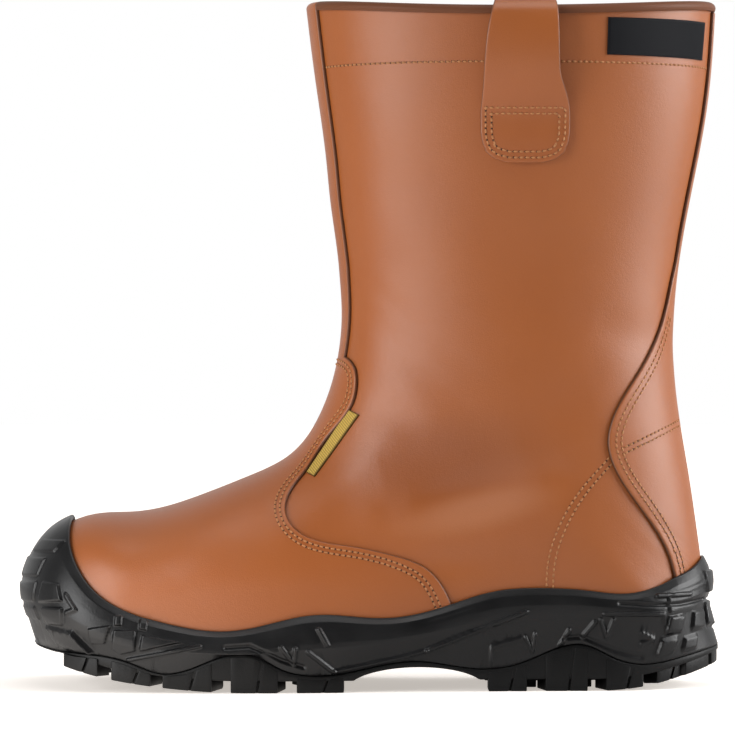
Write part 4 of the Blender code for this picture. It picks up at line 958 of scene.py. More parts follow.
def woven_material(name, colour, border, rib, gloss):
    """Narrow woven ribbon: fine diagonal ribs, and another colour where the border is marked."""
    material, tree, shader = new_material(name)
    turned = add_node(tree, "ShaderNodeMapping", None,
                      {"Vector": object_place(tree), "Rotation": (0.0, 0.7, 0.0)})
    ribs = add_node(tree, "ShaderNodeTexWave", {"bands_direction": "X"},
                    {"Vector": turned.outputs[0], "Scale": rib}).outputs["Fac"]
    ribbed = mixed(tree, ribs, [0.55 * part for part in colour[:3]] + [1.0], colour)
    fill(tree, shader, {"Base Color": mixed(tree, marked(tree), ribbed, border), "Roughness": gloss,
                        "Normal": bumped(tree, ribs, 0.4, 0.0002), "Specular IOR Level": 0.08})
    return material


black_satin = woven_material("black_satin", (0.006, 0.0065, 0.009, 1.0), (0.02, 0.02, 0.024, 1.0), 700.0,
                             0.5)
gold_weave = woven_material("gold_weave", (0.62, 0.42, 0.10, 1.0), (0.10, 0.06, 0.02, 1.0), 330.0, 0.6)
add_piece("shaft_label_satin", patch_mesh("shaft_label_satin", LABEL_CORNERS, 34, 84), black_satin,
          "black_satin", "shaft_label")
add_piece("vamp_tag_weave", patch_mesh("vamp_tag_weave", TAG_CORNERS, 60, 16), gold_weave,
          "gold_weave", "vamp_tag")


# Stitching: waxed tan thread in rows of single stitches. Each stitch lies over the leather between two
# needle holes, where dark dots are painted as the shade in the holes.
STITCH_PITCH = 2.45
STITCH = (1.9, 0.95, 0.665)      # length, width and thickness
# size of the dark dot painted as the shade in a needle hole
NEEDLE_HOLE = (0.84, 1.05, 0.24)
THREAD_LIFT = 0.1
HOLE_SINK = 0.08                 # how far the needle holes lie below the thread's line
VAMP_ROWS_IN = (2.4, 4.5)        # distance of both rows from the vamp's edge, in its upper part
VAMP_ROWS_LOW = (4.6, 6.8)       # and at the sole
VAMP_SPREAD = (8.0, 34.0)        # x between which they spread
VAMP_SEWN_FROM = 31.0            # height below which they are inside the sole
COUNTER_ROWS_IN = (3.4, 5.9)
COUNTER_SEWN = (44.0, 160.0)     # heights between which the counter's rows run
COLLAR_SEAM_Z = 267.8
COLLAR_SEAM_GAP = 0.006          # share of the turn between the front strip and this seam
COLLAR_SEAM_END = 0.94           # and share at which it goes under the back strip
HEEL_SEAM = ((102.9, 99.1), (90.1, 84.6), (81.6, 70.1), (76.7, 52.7), (76.7, 38.0))
HEEL_SEAM_GAP = 2.8
HEEL_SEAM_DROP = 0.3             # how much lower the second row lies, as a share of the gap
CROSS_SEAM = ((110.0, 104.2), (133.5, 115.0))
CROSS_SEAM_GAP = 2.6
TAB_ROWS_IN = (2.1, 4.6)         # distance of both rows from the edge of a pull loop's tab
TAB_TOPS = (248.1, 245.6)        # and heights at which they close
TAB_END_Z = 252.0                # height at which the strap leaves the shaft


def stitch_tree():
    """Geometry nodes that lay stitches, or needle holes, along the edges of a mesh."""
    tree = bpy.data.node_groups.new("stitch_row", "GeometryNodeTree")
    tree.interface.new_socket("Geometry", in_out="INPUT", socket_type="NodeSocketGeometry")
    for name in ("Pitch", "Length", "Width", "Thickness", "Shift"):
        tree.interface.new_socket(name, in_out="INPUT", socket_type="NodeSocketFloat")
    tree.interface.new_socket("Material", in_out="INPUT", socket_type="NodeSocketMaterial")
    tree.interface.new_socket("Geometry", in_out="OUTPUT", socket_type="NodeSocketGeometry")
    given = tree.nodes.new("NodeGroupInput")
    result = tree.nodes.new("NodeGroupOutput")
    curve = add_node(tree, "GeometryNodeMeshToCurve", None, {"Mesh": given.outputs["Geometry"]})
    trimmed = add_node(tree, "GeometryNodeTrimCurve", {"mode": "LENGTH"}, {"Curve": curve.outputs[0]})
    length = add_node(tree, "GeometryNodeSplineLength").outputs["Length"]
    tree.links.new(given.outputs["Shift"], trimmed.inputs[4])
    tree.links.new(length, trimmed.inputs[5])
    spaced = add_node(tree, "GeometryNodeResampleCurve", {"mode": "LENGTH"},
                      {"Curve": trimmed.outputs[0], "Length": given.outputs["Pitch"]})
    way = add_node(tree, "GeometryNodeInputTangent").outputs["Tangent"]
    out = add_node(tree, "GeometryNodeInputNamedAttribute", {"data_type": "FLOAT_VECTOR"},
                   {"Name": "leather_normal"}).outputs["Attribute"]
    turn = add_node(tree, "FunctionNodeAxesToRotation", {"primary_axis": "X", "secondary_axis": "Z"})
    tree.links.new(way, turn.inputs[0])
    tree.links.new(out, turn.inputs[1])
    ball = add_node(tree, "GeometryNodeMeshUVSphere", None, {"Segments": 8, "Rings": 5, "Radius": 0.5})
    size = add_node(tree, "ShaderNodeCombineXYZ", None,
                    {"X": given.outputs["Length"], "Y": given.outputs["Width"],
                     "Z": given.outputs["Thickness"]})
    placed = add_node(tree, "GeometryNodeInstanceOnPoints", None,
                      {"Points": spaced.outputs[0], "Instance": ball.outputs[0],
                       "Rotation": turn.outputs[0], "Scale": size.outputs[0]})
    real = add_node(tree, "GeometryNodeRealizeInstances", None, {"Geometry": placed.outputs[0]})
    smooth = add_node(tree, "GeometryNodeSetShadeSmooth", None, {"Geometry": real.outputs[0]})
    dyed = add_node(tree, "GeometryNodeSetMaterial", None,
                    {"Geometry": smooth.outputs[0], "Material": given.outputs["Material"]})
    tree.links.new(dyed.outputs[0], result.inputs["Geometry"])
    return tree


def seam_mesh(name, rows):
    """Mesh of bare edges along rows of points in mm, with the leather's normal at each point."""
    mesh = bpy.data.meshes.new(name)
    points = np.concatenate([row[0] for row in rows]) * MM
    edges, first = [], 0
    for row, _ in rows:
        edges += [(first + i, first + i + 1) for i in range(len(row) - 1)]
        first += len(row)
    mesh.from_pydata(points.tolist(), edges, [])
    normals = mesh.attributes.new("leather_normal", "FLOAT_VECTOR", "POINT")
    normals.data.foreach_set("vector", np.concatenate([row[1] for row in rows]).ravel())
    return mesh


def made_plain(source, name):
    """Plain mesh of an object with its modifier applied. The object itself goes."""
    graph = bpy.context.evaluated_depsgraph_get()
    mesh = bpy.data.meshes.new_from_object(source.evaluated_get(graph))
    mesh.name = name
    bpy.data.objects.remove(source, do_unlink=True)
    return mesh


def sewn(name, rows, tree, size, shift, material):
    """Mesh of the stitch tree run over rows of points, with sizes in mm."""
    guide = bpy.data.objects.new(name + "_guide", seam_mesh(name + "_guide", rows))
    bpy.context.scene.collection.objects.link(guide)
    run = guide.modifiers.new("stitch_row", "NODES")
    run.node_group = tree
    length, width, thickness = size
    given = {"Pitch": STITCH_PITCH * MM, "Length": length * MM, "Width": width * MM,
             "Thickness": thickness * MM, "Shift": shift * MM, "Material": material}
    for item in tree.interface.items_tree:
        if item.name in given:
            run[item.identifier] = given[item.name]
    return made_plain(guide, name)


def seam_on_leather(along, around, height):
    """Points of a seam at a height above the leather, and the leather's normals there."""
    return leather_point(along, around, height), face_normal(along, around)


seam_rows = []
vamp_points = last_point(*vamp_edge)
low_share = np.interp(vamp_points[:, 0], VAMP_SPREAD, (0, 1))
in_sole = vamp_points[:, 2] < VAMP_SEWN_FROM
for upper_gap, lower_gap in zip(VAMP_ROWS_IN, VAMP_ROWS_LOW):
    along, around = beside(*vamp_edge, upper_gap + (lower_gap - upper_gap) * low_share)
    seam_rows.append(seam_on_leather(along[~in_sole], around[~in_sole], OVERLAY + THREAD_LIFT))
for side, edge in counter_edges.items():
    for gap in COUNTER_ROWS_IN:
        along, around = beside(*edge, side * gap)
        height = last_point(along, around)[:, 2]
        keep = (height > COUNTER_SEWN[0]) & (height < COUNTER_SEWN[1])
        seam_rows.append(seam_on_leather(along[keep], around[keep], OVERLAY + THREAD_LIFT))
    turns = side * np.linspace(strip_top + COLLAR_SEAM_GAP, COLLAR_SEAM_END, 160)
    collar_along = np.array([np.interp(COLLAR_SEAM_Z, last_point(upper_along[-60:], t)[:, 2],
                                       upper_along[-60:]) for t in turns])
    seam_rows.append(seam_on_leather(collar_along, turns, THREAD_LIFT))
    for shift in (0.0, HEEL_SEAM_GAP):
        heel_line = dense_line(HEEL_SEAM, 60)
        along, around = side_places(heel_line[:, 0] + shift, heel_line[:, 1] - HEEL_SEAM_DROP * shift,
                                    side)
        seam_rows.append(seam_on_leather(along, around, THREAD_LIFT))
    for drop in (0.0, CROSS_SEAM_GAP):
        cross_x, cross_z = np.linspace(*CROSS_SEAM, 30).T
        along, around = side_places(cross_x, cross_z - drop, side)
        seam_rows.append(seam_on_leather(along, around, OVERLAY + THREAD_LIFT))

tab_count = int(np.argmax(loop_line[:, 0] >= TAB_END_Z))
tab_z = loop_line[:tab_count, 0]
tab_half = (loop_front[:tab_count] + loop_rear[:tab_count]) / 2


def tab_ring(inset, top):
    """Closed row inside the tab's outline, as distances across from its middle and heights."""
    right = np.stack([tab_half, tab_z], 1)
    foot = np.stack([np.linspace(-tab_half[0], tab_half[0], 12)[1:-1], np.full(10, tab_z[0])], 1)
    outline = np.concatenate([right[::-1] * np.array([-1, 1]), foot, right])
    way = np.gradient(outline, axis=0)
    inward = np.stack([-way[:, 1], way[:, 0]], 1)
    moved = outline + unit(inward) * inset
    kept = moved[moved[:, 1] < top]
    line = np.concatenate([kept, [(kept[-1, 0], top), (kept[0, 0], top), kept[0]]])
    length = chord_lengths(line)
    even = np.linspace(0, length[-1], 200)
    return np.interp(even, length, line[:, 0]), np.interp(even, length, line[:, 1])


def on_tab(values, across, height):
    """Values of the strap's grid at distances across and heights on its tab."""
    place = np.interp(height, tab_z, np.arange(tab_count))
    result = []
    for w, p in zip(across, place):
        low = int(min(p, tab_count - 2))
        rows = []
        for i in (low, low + 1):
            inset = loop_inset(2 * tab_half[i])
            rows.append([np.interp(w + tab_half[i], inset, values[i, :, k]) for k in range(3)])
        result.append(np.array(rows[0]) * (low + 1 - p) + np.array(rows[1]) * (p - low))
    return np.array(result)


for face, normals in loop_faces:
    for inset, top in zip(TAB_ROWS_IN, TAB_TOPS):
        across, height = tab_ring(inset, top)
        points, ways = on_tab(face, across, height), on_tab(normals, across, height)
        seam_rows.append((points + ways * THREAD_LIFT, ways))


def mottled_material(name, dark, light, scale, roughness):
    """Matt thread, or the painted shade in needle holes, in uneven tone."""
    material, tree, shader = new_material(name)
    tone = noise(tree, object_place(tree), scale)
    fill(tree, shader, {"Base Color": mixed(tree, tone, dark, light), "Roughness": roughness})
    return material


thread = mottled_material("tan_thread", (0.30, 0.112, 0.036, 1.0), (0.62, 0.28, 0.105, 1.0), 1800.0, 0.55)
# Dark colour painted as the shade in the needle holes.
hole_shade = mottled_material("needle_hole_painted_shade", (0.05, 0.02, 0.01, 1.0), (0.10, 0.035, 0.014, 1.0), 900.0, 0.8)
stitches = stitch_tree()
stitch_mesh = sewn("seam_stitches", seam_rows, stitches, STITCH, 0.0, thread)
add_piece("seam_stitches", stitch_mesh, thread, "leather")
# Dark dots between the stitches, painted as the shade in the needle holes.
hole_rows = [(points - ways * HOLE_SINK, ways) for points, ways in seam_rows]
hole_mesh = sewn("seam_needle_holes", hole_rows, stitches, NEEDLE_HOLE, STITCH_PITCH / 2, hole_shade)
add_piece("seam_needle_holes", hole_mesh, hole_shade, "leather")


# Insole: a felt footbed that lies loose on the sole's floor inside the upper.
# Its upper edge is rounded.
INSOLE = 5.0
INSOLE_INSET = WALL + 1.4
INSOLE_STRAIGHT = 0.7   # share of its thickness below the rounding
INSOLE_ROUND = 3.0      # width of the rounding
LAYER_GAP = 0.3
FLOOR_GAP = 0.7
FOOT_TOE_X = -145.0
FOOT_HEEL_X = 142.6
SPINE_TOE = 34.0        # how far from both ends the boot's middle line stops
SPINE_HEEL = 30.0
FLOOR_LINE = np.concatenate([
    [(-145.0, 27.6), (-96.0, 18.7)],
    last_row(np.linspace(station("toe_back"), station("heel_base"), 60))[:, 2:4],
    [(143.0, 31.2)],
])


def floor_height(x):
    """Height of the floor inside the sole's cup."""
    return np.interp(x, FLOOR_LINE[:, 0], FLOOR_LINE[:, 1]) - FLOOR_GAP


def foot_outline(pairs):
    """Points round the upper's lower edge, in pairs across the foot, and their outward normals.

    They run from the toe along the outer side to the heel, and back along the inner side.
    """
    turn = np.linspace(0, math.pi, 2000)
    x = (FOOT_TOE_X + FOOT_HEEL_X) / 2 - (FOOT_HEEL_X - FOOT_TOE_X) / 2 * np.cos(turn)
    outer, inner = foot_edge(x)
    along = chord_lengths(np.stack([x, (inner - outer) / 2], 1))
    turns = np.interp(np.linspace(0, along[-1], pairs + 1), along, turn)
    spots, normals = [], []
    for y, places in ((outer, turns), (inner, turns[-2:0:-1])):
        spot = np.stack([np.interp(places, turn, x), np.interp(places, turn, y)], 1)
        before, after = np.clip(places - 0.06, 0, math.pi), np.clip(places + 0.06, 0, math.pi)
        way_x = np.interp(after, turn, x) - np.interp(before, turn, x)
        way_y = np.interp(after, turn, y) - np.interp(before, turn, y)
        sign = 1 if y is outer else -1
        normal = np.stack([way_y, -way_x], 1) * sign
        ends = (places == turns[0]) | (places == turns[-1])
        normal = np.where(ends[:, None], np.sign(places - 1.0)[:, None] * np.array([1.0, 0.0]), normal)
        spots.append(spot)
        normals.append(unit(normal))
    return np.concatenate(spots), np.concatenate(normals)


def spine_points(spots):
    """Points on the boot's middle line beside places on the outline."""
    x = np.clip(spots[:, 0], FOOT_TOE_X + SPINE_TOE, FOOT_HEEL_X - SPINE_HEEL)
    outer, inner = foot_edge(x)
    return np.stack([x, (outer + inner) / 2], 1)


def at_height(points, z):
    """Plan points with their heights."""
    return np.concatenate([points, np.broadcast_to(np.asarray(z, float), len(points))[:, None]], axis=1)


def ringed(rows):
    """Grid of rows round the foot, closed by repeating the first place."""
    grid = np.array(rows)
    return np.concatenate([grid, grid[:, :1]], axis=1)


insole_spots, insole_normals = foot_outline(120)
insole_edge = insole_spots - insole_normals * INSOLE_INSET
insole_spine = spine_points(insole_spots)
insole_low = floor_height(insole_spots[:, 0]) + 2 * LAYER_GAP
spine_low = floor_height(insole_spine[:, 0]) + LAYER_GAP
insole_rows = [at_height(insole_spine, spine_low), at_height(insole_edge, insole_low),
               at_height(insole_edge, insole_low + INSOLE_STRAIGHT * INSOLE)]
for turn in np.linspace(0, math.pi / 2, 6)[1:]:
    rounded = insole_edge - insole_normals * INSOLE_ROUND * (1 - math.cos(turn))
    share = INSOLE_STRAIGHT + (1 - INSOLE_STRAIGHT) * math.sin(turn)
    insole_rows.append(at_height(rounded, insole_low + INSOLE * share))
insole_rows.append(at_height(insole_spine, spine_low + INSOLE))
insole_mesh = mesh_from_grids("insole_felt", ringed(insole_rows))
felt = textile_material("footbed_felt", (0.075, 0.075, 0.08, 1.0), (0.03, 0.03, 0.034, 1.0), 420.0, 0.6,
                        0.95)
add_piece("insole_felt", insole_mesh, felt, "footbed_felt", "insole")


# Midsole: one moulding of black polyurethane, cast on to the upper as a cup that rises to a bumper over
# the toe and to a stabiliser round the heel. Its side is moulded with pads, ridges and grooves.
SOLE_RIM = (
    # x, z of the edge where the leather meets the sole
    (-128.4, 76.0), (-127.8, 66.0), (-125.8, 56.5), (-120.4, 46.0), (-112.0, 38.0), (-93.0, 30.6),
    (-70.0, 25.8), (-58.0, 25.4), (-40.0, 29.2), (-21.0, 32.6), (0.0, 31.0), (16.0, 31.6),
    (34.0, 36.0), (54.0, 42.2), (76.0, 43.4), (98.0, 41.9), (113.0, 40.4), (126.0, 44.8),
    (138.0, 49.8), (148.0, 57.6), (156.0, 60.0),
)
TREAD_LINE = (
    # x, z of the wavy line between midsole and outsole
    (-150.0, 20.0), (-134.0, 17.0), (-112.0, 15.4), (-101.0, 12.8), (-86.0, 8.2), (-78.0, 9.4),
    (-60.0, 16.2), (-50.0, 16.8), (-36.0, 10.0), (-26.0, 7.6), (-10.0, 8.4), (20.0, 13.2),
    (48.0, 9.8), (66.0, 12.4), (84.0, 19.4), (92.0, 20.0), (106.0, 14.0), (118.0, 11.4),
    (134.0, 13.8), (152.0, 18.0),
)
SOLE_WALL = (
    # share of height, stand-out at the sides, stand-out at the toe
    (0.0, 6.2, 0.0), (0.17, 6.2, 1.4), (0.34, 5.8, 2.4), (0.6, 4.8, 2.6), (0.84, 3.4, 2.6),
    (1.0, 1.5, 2.2),
)
WALL_STRAIGHT = 0.2     # share of its height up to which the wall is straight
TOE_FROM_X = -92.0      # from here the wall becomes the toe's
TOE_FULL_X = -137.0     # and here it is all the toe's
HEEL_FLARE = 4.0
CUP_GAP = 0.5
SOLE_FLOOR = 4.0
RAY_INSIDE = 38.0       # from the foot's edge in to the middle of the fan of rays
RAY_RISE = 8.0
RAY_FAR = 120.0
RAY_ANGLES = np.radians(np.arange(-8.0, 86.0, 0.5))
RAY_STEPS = 21
RIM_BEAD = 0.7          # height of the rounded rim
UNDER_OUT = 0.5         # how far the flat underside goes beyond the foot's edge
SOLE_PAIRS, SOLE_RAYS = 800, 240
WALL_ROWS, INNER_ROWS, RIM_ROWS = 104, 3, 5
SOLE_TRIANGLES = 185000
RELIEF_SCALE = 1.35
PAD_EDGE = (-0.3, 0.4)          # distances from a pad's outline between which it rises
PAD_MOAT = (0.5, 0.9, 0.5)      # depth, distance and half-width of the groove round a pad
RIDGE_EDGE = 0.35
FOOT_FADE = (0.0, 0.3, 0.7)     # share of the relief in the lowest and in the highest rows
RIM_FADE = (0.7, 0.4, 0.15, 0.0)
TIP_TURN = (0.45, 0.9)          # how far the wall faces forwards where the relief goes down
TIP_FADE = 0.5                  # and by how much
PADS = (
    # rise, then corners as x and z in side view
    (1.3, (-139.0, 27.5), (-126.0, 25.5), (-117.0, 15.5), (-135.5, 20.0)),
    (1.2, (-118.5, 27.0), (-109.0, 28.5), (-111.5, 21.0), (-117.5, 21.0)),
    (1.3, (-107.5, 26.5), (-98.5, 26.5), (-98.5, 18.0), (-105.0, 16.5), (-108.5, 19.0)),
    (1.2, (-96.5, 18.0), (-95.5, 24.5), (-79.0, 21.5)),
    (0.9, (-107.5, 32.5), (-104.5, 32.5), (-104.5, 28.5), (-107.5, 28.5)),
    (0.9, (-97.0, 31.0), (-93.5, 30.5), (-94.0, 26.5), (-97.0, 27.0)),
    (1.2, (-138.5, 35.5), (-129.5, 35.5), (-129.5, 28.5), (-138.5, 28.5)),
    (1.1, (-150.8, 44.6), (-141.5, 46.2), (-142.0, 37.4), (-150.8, 37.0)),
    (1.1, (-139.0, 46.2), (-132.5, 45.4), (-130.0, 38.4), (-139.8, 37.4)),
    (1.0, (-149.6, 55.6), (-141.0, 56.0), (-141.8, 48.4), (-150.6, 47.2)),
    (1.0, (-150.2, 35.0), (-142.0, 35.4), (-141.0, 29.6), (-149.0, 30.0)),
    (1.0, (-146.6, 63.5), (-137.5, 63.5), (-139.0, 58.6), (-147.6, 58.4)),
    (1.3, (129.0, 31.5), (135.5, 32.0), (134.5, 25.0), (127.5, 24.0)),
    (1.3, (126.0, 21.5), (133.0, 22.5), (131.0, 16.0), (124.0, 14.5)),
    (1.2, (140.0, 33.0), (145.0, 33.5), (144.5, 26.0), (139.0, 25.5)),
    (1.1, (136.0, 22.0), (141.5, 22.8), (140.5, 17.4), (135.0, 16.6)),
    (1.0, (150.0, 50.0), (146.0, 50.0), (146.6, 41.0), (150.6, 41.0)),
    (1.0, (151.4, 37.0), (147.2, 36.6), (146.6, 27.0), (151.4, 26.0)),
)
RIDGES = (
    # half-width, rise, then points as x and z in side view
    (0.8, 0.9, (-126.0, 25.5), (-117.0, 15.5)),
    (0.7, 0.9, (-102.0, 14.0), (-71.0, 20.0)),
    (0.8, 0.8, (-36.5, 19.5), (-31.0, 12.5), (-30.6, 19.0)),
    (0.9, 0.9, (-20.5, 27.0), (-17.0, 20.5)),
    (0.9, 1.0, (-25.0, 17.5), (-13.5, 8.5)),
    (0.8, 0.8, (-13.5, 9.0), (14.0, 14.8), (25.5, 18.0)),
    (0.9, 1.0, (25.5, 18.0), (67.5, 34.0)),
    (0.7, 0.8, (53.0, 13.0), (53.0, 19.0), (65.5, 22.5)),
    (0.7, 0.8, (67.5, 23.0), (70.5, 17.0), (71.5, 24.5)),
    (0.9, 0.9, (86.0, 26.0), (81.5, 18.5)),
    (0.9, 0.9, (97.0, 29.5), (92.0, 23.5)),
    (0.8, 0.9, (99.5, 30.5), (102.0, 23.0), (105.0, 30.5)),
    (0.7, 0.8, (101.0, 33.0), (126.5, 32.5), (127.2, 28.5)),
    (0.8, 0.9, (124.5, 40.2), (139.0, 40.8)),
    (0.7, 0.8, (129.5, 38.8), (129.5, 34.0)),
    (0.8, 0.8, (117.5, 24.5), (122.5, 22.0), (117.5, 20.0)),
    (0.8, 0.8, (-129.0, 41.0), (-124.5, 35.0), (-128.0, 33.5)),
)
GROOVES = (
    # half-width, depth, then points as x and z in side view
    (0.9, 0.8, (-60.0, 19.5), (-50.0, 20.2), (-36.0, 13.8), (-27.0, 11.2)),
    (0.9, 0.7, (84.0, 22.8), (92.0, 23.2), (106.0, 17.4), (118.0, 14.6)),
    (0.8, 0.7, (108.0, 37.5), (122.0, 36.6), (134.0, 36.6), (146.0, 38.0)),
)


def line_height(rows):
    """Function z of x for a side-view line."""
    line = dense_line(rows)
    return lambda x: np.interp(x, line[:, 0], line[:, 1])


rim_height = line_height(SOLE_RIM)
tread_height = line_height(TREAD_LINE)


def toe_share(spots, normals):
    """1 at the front of the toe, 0 along the sides and at the heel."""
    return np.clip(-normals[:, 0], 0, None) * np.interp(spots[:, 0], (TOE_FULL_X, TOE_FROM_X), (1, 0))


def sole_foot(spots, normals):
    """Lower outer edge of the midsole round the foot."""
    toe = toe_share(spots, normals)
    stand_out = SOLE_WALL[0][1] * (1 - toe) + HEEL_FLARE * np.clip(normals[:, 0], 0, None) ** 3
    edge = spots + normals * stand_out[:, None]
    return at_height(edge, tread_height(edge[:, 0]))


def base_height(x):
    """Height of the midsole's underside, away from its wavy edge."""
    return np.minimum(tread_height(x), floor_height(x) - SOLE_FLOOR)


def tree_of(*grids):
    """Search tree of several lofts, in mm."""
    points, faces = [], []
    for grid in grids:
        first, columns = len(points), grid.shape[1]
        points += [Vector(point) for point in grid.reshape(-1, 3)]
        for i in range(grid.shape[0] - 1):
            row = first + i * columns
            faces += [(row + j, row + columns + j, row + columns + j + 1, row + j + 1)
                      for j in range(columns - 1)]
    return BVHTree.FromPolygons(points, faces)


def leather_reach(tree, middle, normal, angle):
    """Distance from the middle of a fan of rays to the outside of the leather."""
    way = np.array([*(normal * math.cos(angle)), math.sin(angle)])
    hit = tree.ray_cast(Vector(middle + way * RAY_FAR), Vector(-way), RAY_FAR)[0]
    return np.nan if hit is None else RAY_FAR - float((Vector(middle + way * RAY_FAR) - hit).length)


def cup_shape(tree, spots, normals):
    """Lowest and rim angle round the foot, and the leather's distance between them."""
    floors = floor_height(spots[:, 0])
    low = -math.atan2(RAY_RISE, RAY_INSIDE)
    rims, reaches = [], []
    for spot, normal, floor_z in zip(spots, normals, floors):
        middle = np.array([*(spot - normal * RAY_INSIDE), floor_z + RAY_RISE])
        rim = 0.0
        for angle in RAY_ANGLES:
            reach = leather_reach(tree, middle, normal, angle)
            if np.isnan(reach):
                continue
            x = middle[0] + normal[0] * math.cos(angle) * reach
            if middle[2] + math.sin(angle) * reach > rim_height(x):
                break
            rim = angle
        angles = low + (rim - low) * np.linspace(0, 1, RAY_STEPS)
        reach = np.array([leather_reach(tree, middle, normal, angle) for angle in angles])
        reach = np.where(np.isnan(reach), np.nanmin(reach), reach)
        rims.append(rim)
        reaches.append(reach)
    return low, np.array(rims), np.array(reaches)


def round_ring(values, steps):
    """Values round the foot, smoothed over some steps either way."""
    shifted = [np.roll(values, k, axis=0) for k in range(-steps, steps + 1)]
    return np.mean(shifted, axis=0)


def path_distance(points, path):
    """Distance from a line through some points."""
    nearest = np.full(points.shape[:-1], np.inf)
    for start, end in zip(path[:-1], path[1:]):
        way = end - start
        share = np.clip(((points - start) @ way) / (way @ way), 0, 1)
        nearest = np.minimum(nearest, np.linalg.norm(points - start - share[..., None] * way, axis=-1))
    return nearest


def outline_distance(points, corners):
    """Distance inside a polygon, negative outside it."""
    nearest = path_distance(points, np.concatenate([corners, corners[:1]]))
    return np.where(inside_outline(points, corners), nearest, -nearest)


def soft_step(value, low, high):
    """0 below low, 1 above high and smooth between."""
    share = np.clip((value - low) / (high - low), 0, 1)
    return share * share * (3 - 2 * share)


leather_tree = tree_of(upper_face[::2, ::2], vamp_face, counter_face)
ray_spots, ray_normals = foot_outline(SOLE_RAYS // 2)
low_angle, ray_rims, ray_reach = cup_shape(leather_tree, ray_spots, ray_normals)
ray_rims = round_ring(ray_rims, 3)
ray_reach = round_ring(ray_reach, 3)
sole_spots, sole_normals = foot_outline(SOLE_PAIRS)
ring = np.linspace(0, 1, len(ray_rims) + 1)
fine_ring = np.linspace(0, 1, len(sole_spots) + 1)[:-1]
sole_rims = np.interp(fine_ring, ring, np.append(ray_rims, ray_rims[0]))
closed_reach = np.concatenate([ray_reach, ray_reach[:1]])
sole_reach = np.stack([np.interp(fine_ring, ring, column) for column in closed_reach.T], axis=1)
sole_middle = at_height(sole_spots - sole_normals * RAY_INSIDE, floor_height(sole_spots[:, 0]) + RAY_RISE)
toes = toe_share(sole_spots, sole_normals)


def cup_row(up, out, over=0.0):
    """Points round the cup at a share of its height, standing out from the leather."""
    angle = low_angle + (sole_rims - low_angle) * up
    place = up * (sole_reach.shape[1] - 1)
    i = int(min(place, sole_reach.shape[1] - 2))
    reach = sole_reach[:, i] * (i + 1 - place) + sole_reach[:, i + 1] * (place - i)
    reach = reach + CUP_GAP + out
    flat = sole_normals * (np.cos(angle) * reach - np.sin(angle) * over)[:, None]
    return sole_middle + at_height(flat, np.sin(angle) * reach + np.cos(angle) * over)


def stand_out(up):
    """How far the sole's wall stands out from the leather at a share of its height."""
    share, side_out, toe_out = np.array(SOLE_WALL).T
    return np.interp(up, share, side_out) * (1 - toes) + np.interp(up, share, toe_out) * toes


foot_row = sole_foot(sole_spots, sole_normals)
straight_end = cup_row(WALL_STRAIGHT, stand_out(WALL_STRAIGHT))
wall_rows = []
for up in np.linspace(0, 1, WALL_ROWS):
    straight = foot_row + (straight_end - foot_row) * (up / WALL_STRAIGHT)
    wall_rows.append(cup_row(up, stand_out(up)) if up > WALL_STRAIGHT else straight)
wall = np.array(wall_rows)

arc_row = wall[WALL_ROWS // 2]
half_count = SOLE_PAIRS + 1
outer_arc = chord_lengths(arc_row[:half_count])
inner_arc = chord_lengths(np.concatenate([arc_row[:1], arc_row[:SOLE_PAIRS - 1:-1]]))[1:][::-1]
arc = np.concatenate([outer_arc, inner_arc[:len(arc_row) - half_count]])
outer_x = np.maximum.accumulate(arc_row[:half_count, 0] + np.arange(half_count) * 1e-6)
unrolled = np.stack([np.broadcast_to(arc, wall.shape[:2]), wall[..., 2]], axis=-1)


def unroll(points):
    """Side-view points as distance round the sole and height."""
    points = np.asarray(points, float)
    return np.stack([np.interp(points[:, 0], outer_x, outer_arc), points[:, 1]], axis=1)


relief = np.zeros(wall.shape[:2])
for rise, *corners in PADS:
    inside = outline_distance(unrolled, unroll(corners))
    relief = np.maximum(relief, rise * soft_step(inside, *PAD_EDGE))
    depth, distance, half_width = PAD_MOAT
    relief -= depth * np.exp(-((inside + distance) / half_width) ** 2)
for half_width, rise, *path in RIDGES:
    away = path_distance(unrolled, unroll(path))
    relief += rise * soft_step(half_width - away, -RIDGE_EDGE, RIDGE_EDGE)
for half_width, depth, *path in GROOVES:
    away = path_distance(unrolled, unroll(path))
    relief -= depth * np.exp(-(away / half_width) ** 2)
edge_fade = np.ones(WALL_ROWS)
edge_fade[:len(FOOT_FADE)] = FOOT_FADE
edge_fade[-len(RIM_FADE):] = RIM_FADE
at_tip = soft_step(-sole_normals[:, 0], *TIP_TURN)
relief *= RELIEF_SCALE * edge_fade[:, None] * (1 - TIP_FADE * at_tip)
around_way = np.roll(wall, -1, axis=1) - np.roll(wall, 1, axis=1)
up_way = np.gradient(wall, axis=0)
wall_normal = unit(np.cross(around_way, up_way))
facing = np.sign((wall_normal[..., :2] * sole_normals).sum(-1).mean())
wall_face = wall + facing * wall_normal * relief[..., None]

rim_out = stand_out(1.0)
rim_rows = [cup_row(1.0, rim_out * (0.5 + 0.5 * math.cos(t)), RIM_BEAD * math.sin(t))
            for t in np.linspace(0, math.pi, RIM_ROWS + 2)[1:]]
inner_rows = [cup_row(up, 0.0) for up in np.linspace(1, 0, INNER_ROWS + 1)[1:]]
sole_spine = spine_points(sole_spots)
floor_row = at_height(sole_spine, floor_height(sole_spine[:, 0]))
under_spine = at_height(sole_spine, base_height(sole_spine[:, 0]))
under_edge = sole_spots + sole_normals * UNDER_OUT
under_row = at_height(under_edge, base_height(under_edge[:, 0]))
midsole_rows = [under_spine, under_row, *wall_face, *rim_rows, *inner_rows, floor_row]
midsole_mesh = mesh_from_grids("midsole_moulding", ringed(midsole_rows))
dense_sole = bpy.data.objects.new("dense_sole", midsole_mesh)
bpy.context.scene.collection.objects.link(dense_sole)
thinning = dense_sole.modifiers.new("thinning", "DECIMATE")
thinning.ratio = SOLE_TRIANGLES / (2 * len(midsole_mesh.polygons))
midsole_mesh = made_plain(dense_sole, "midsole_moulding")


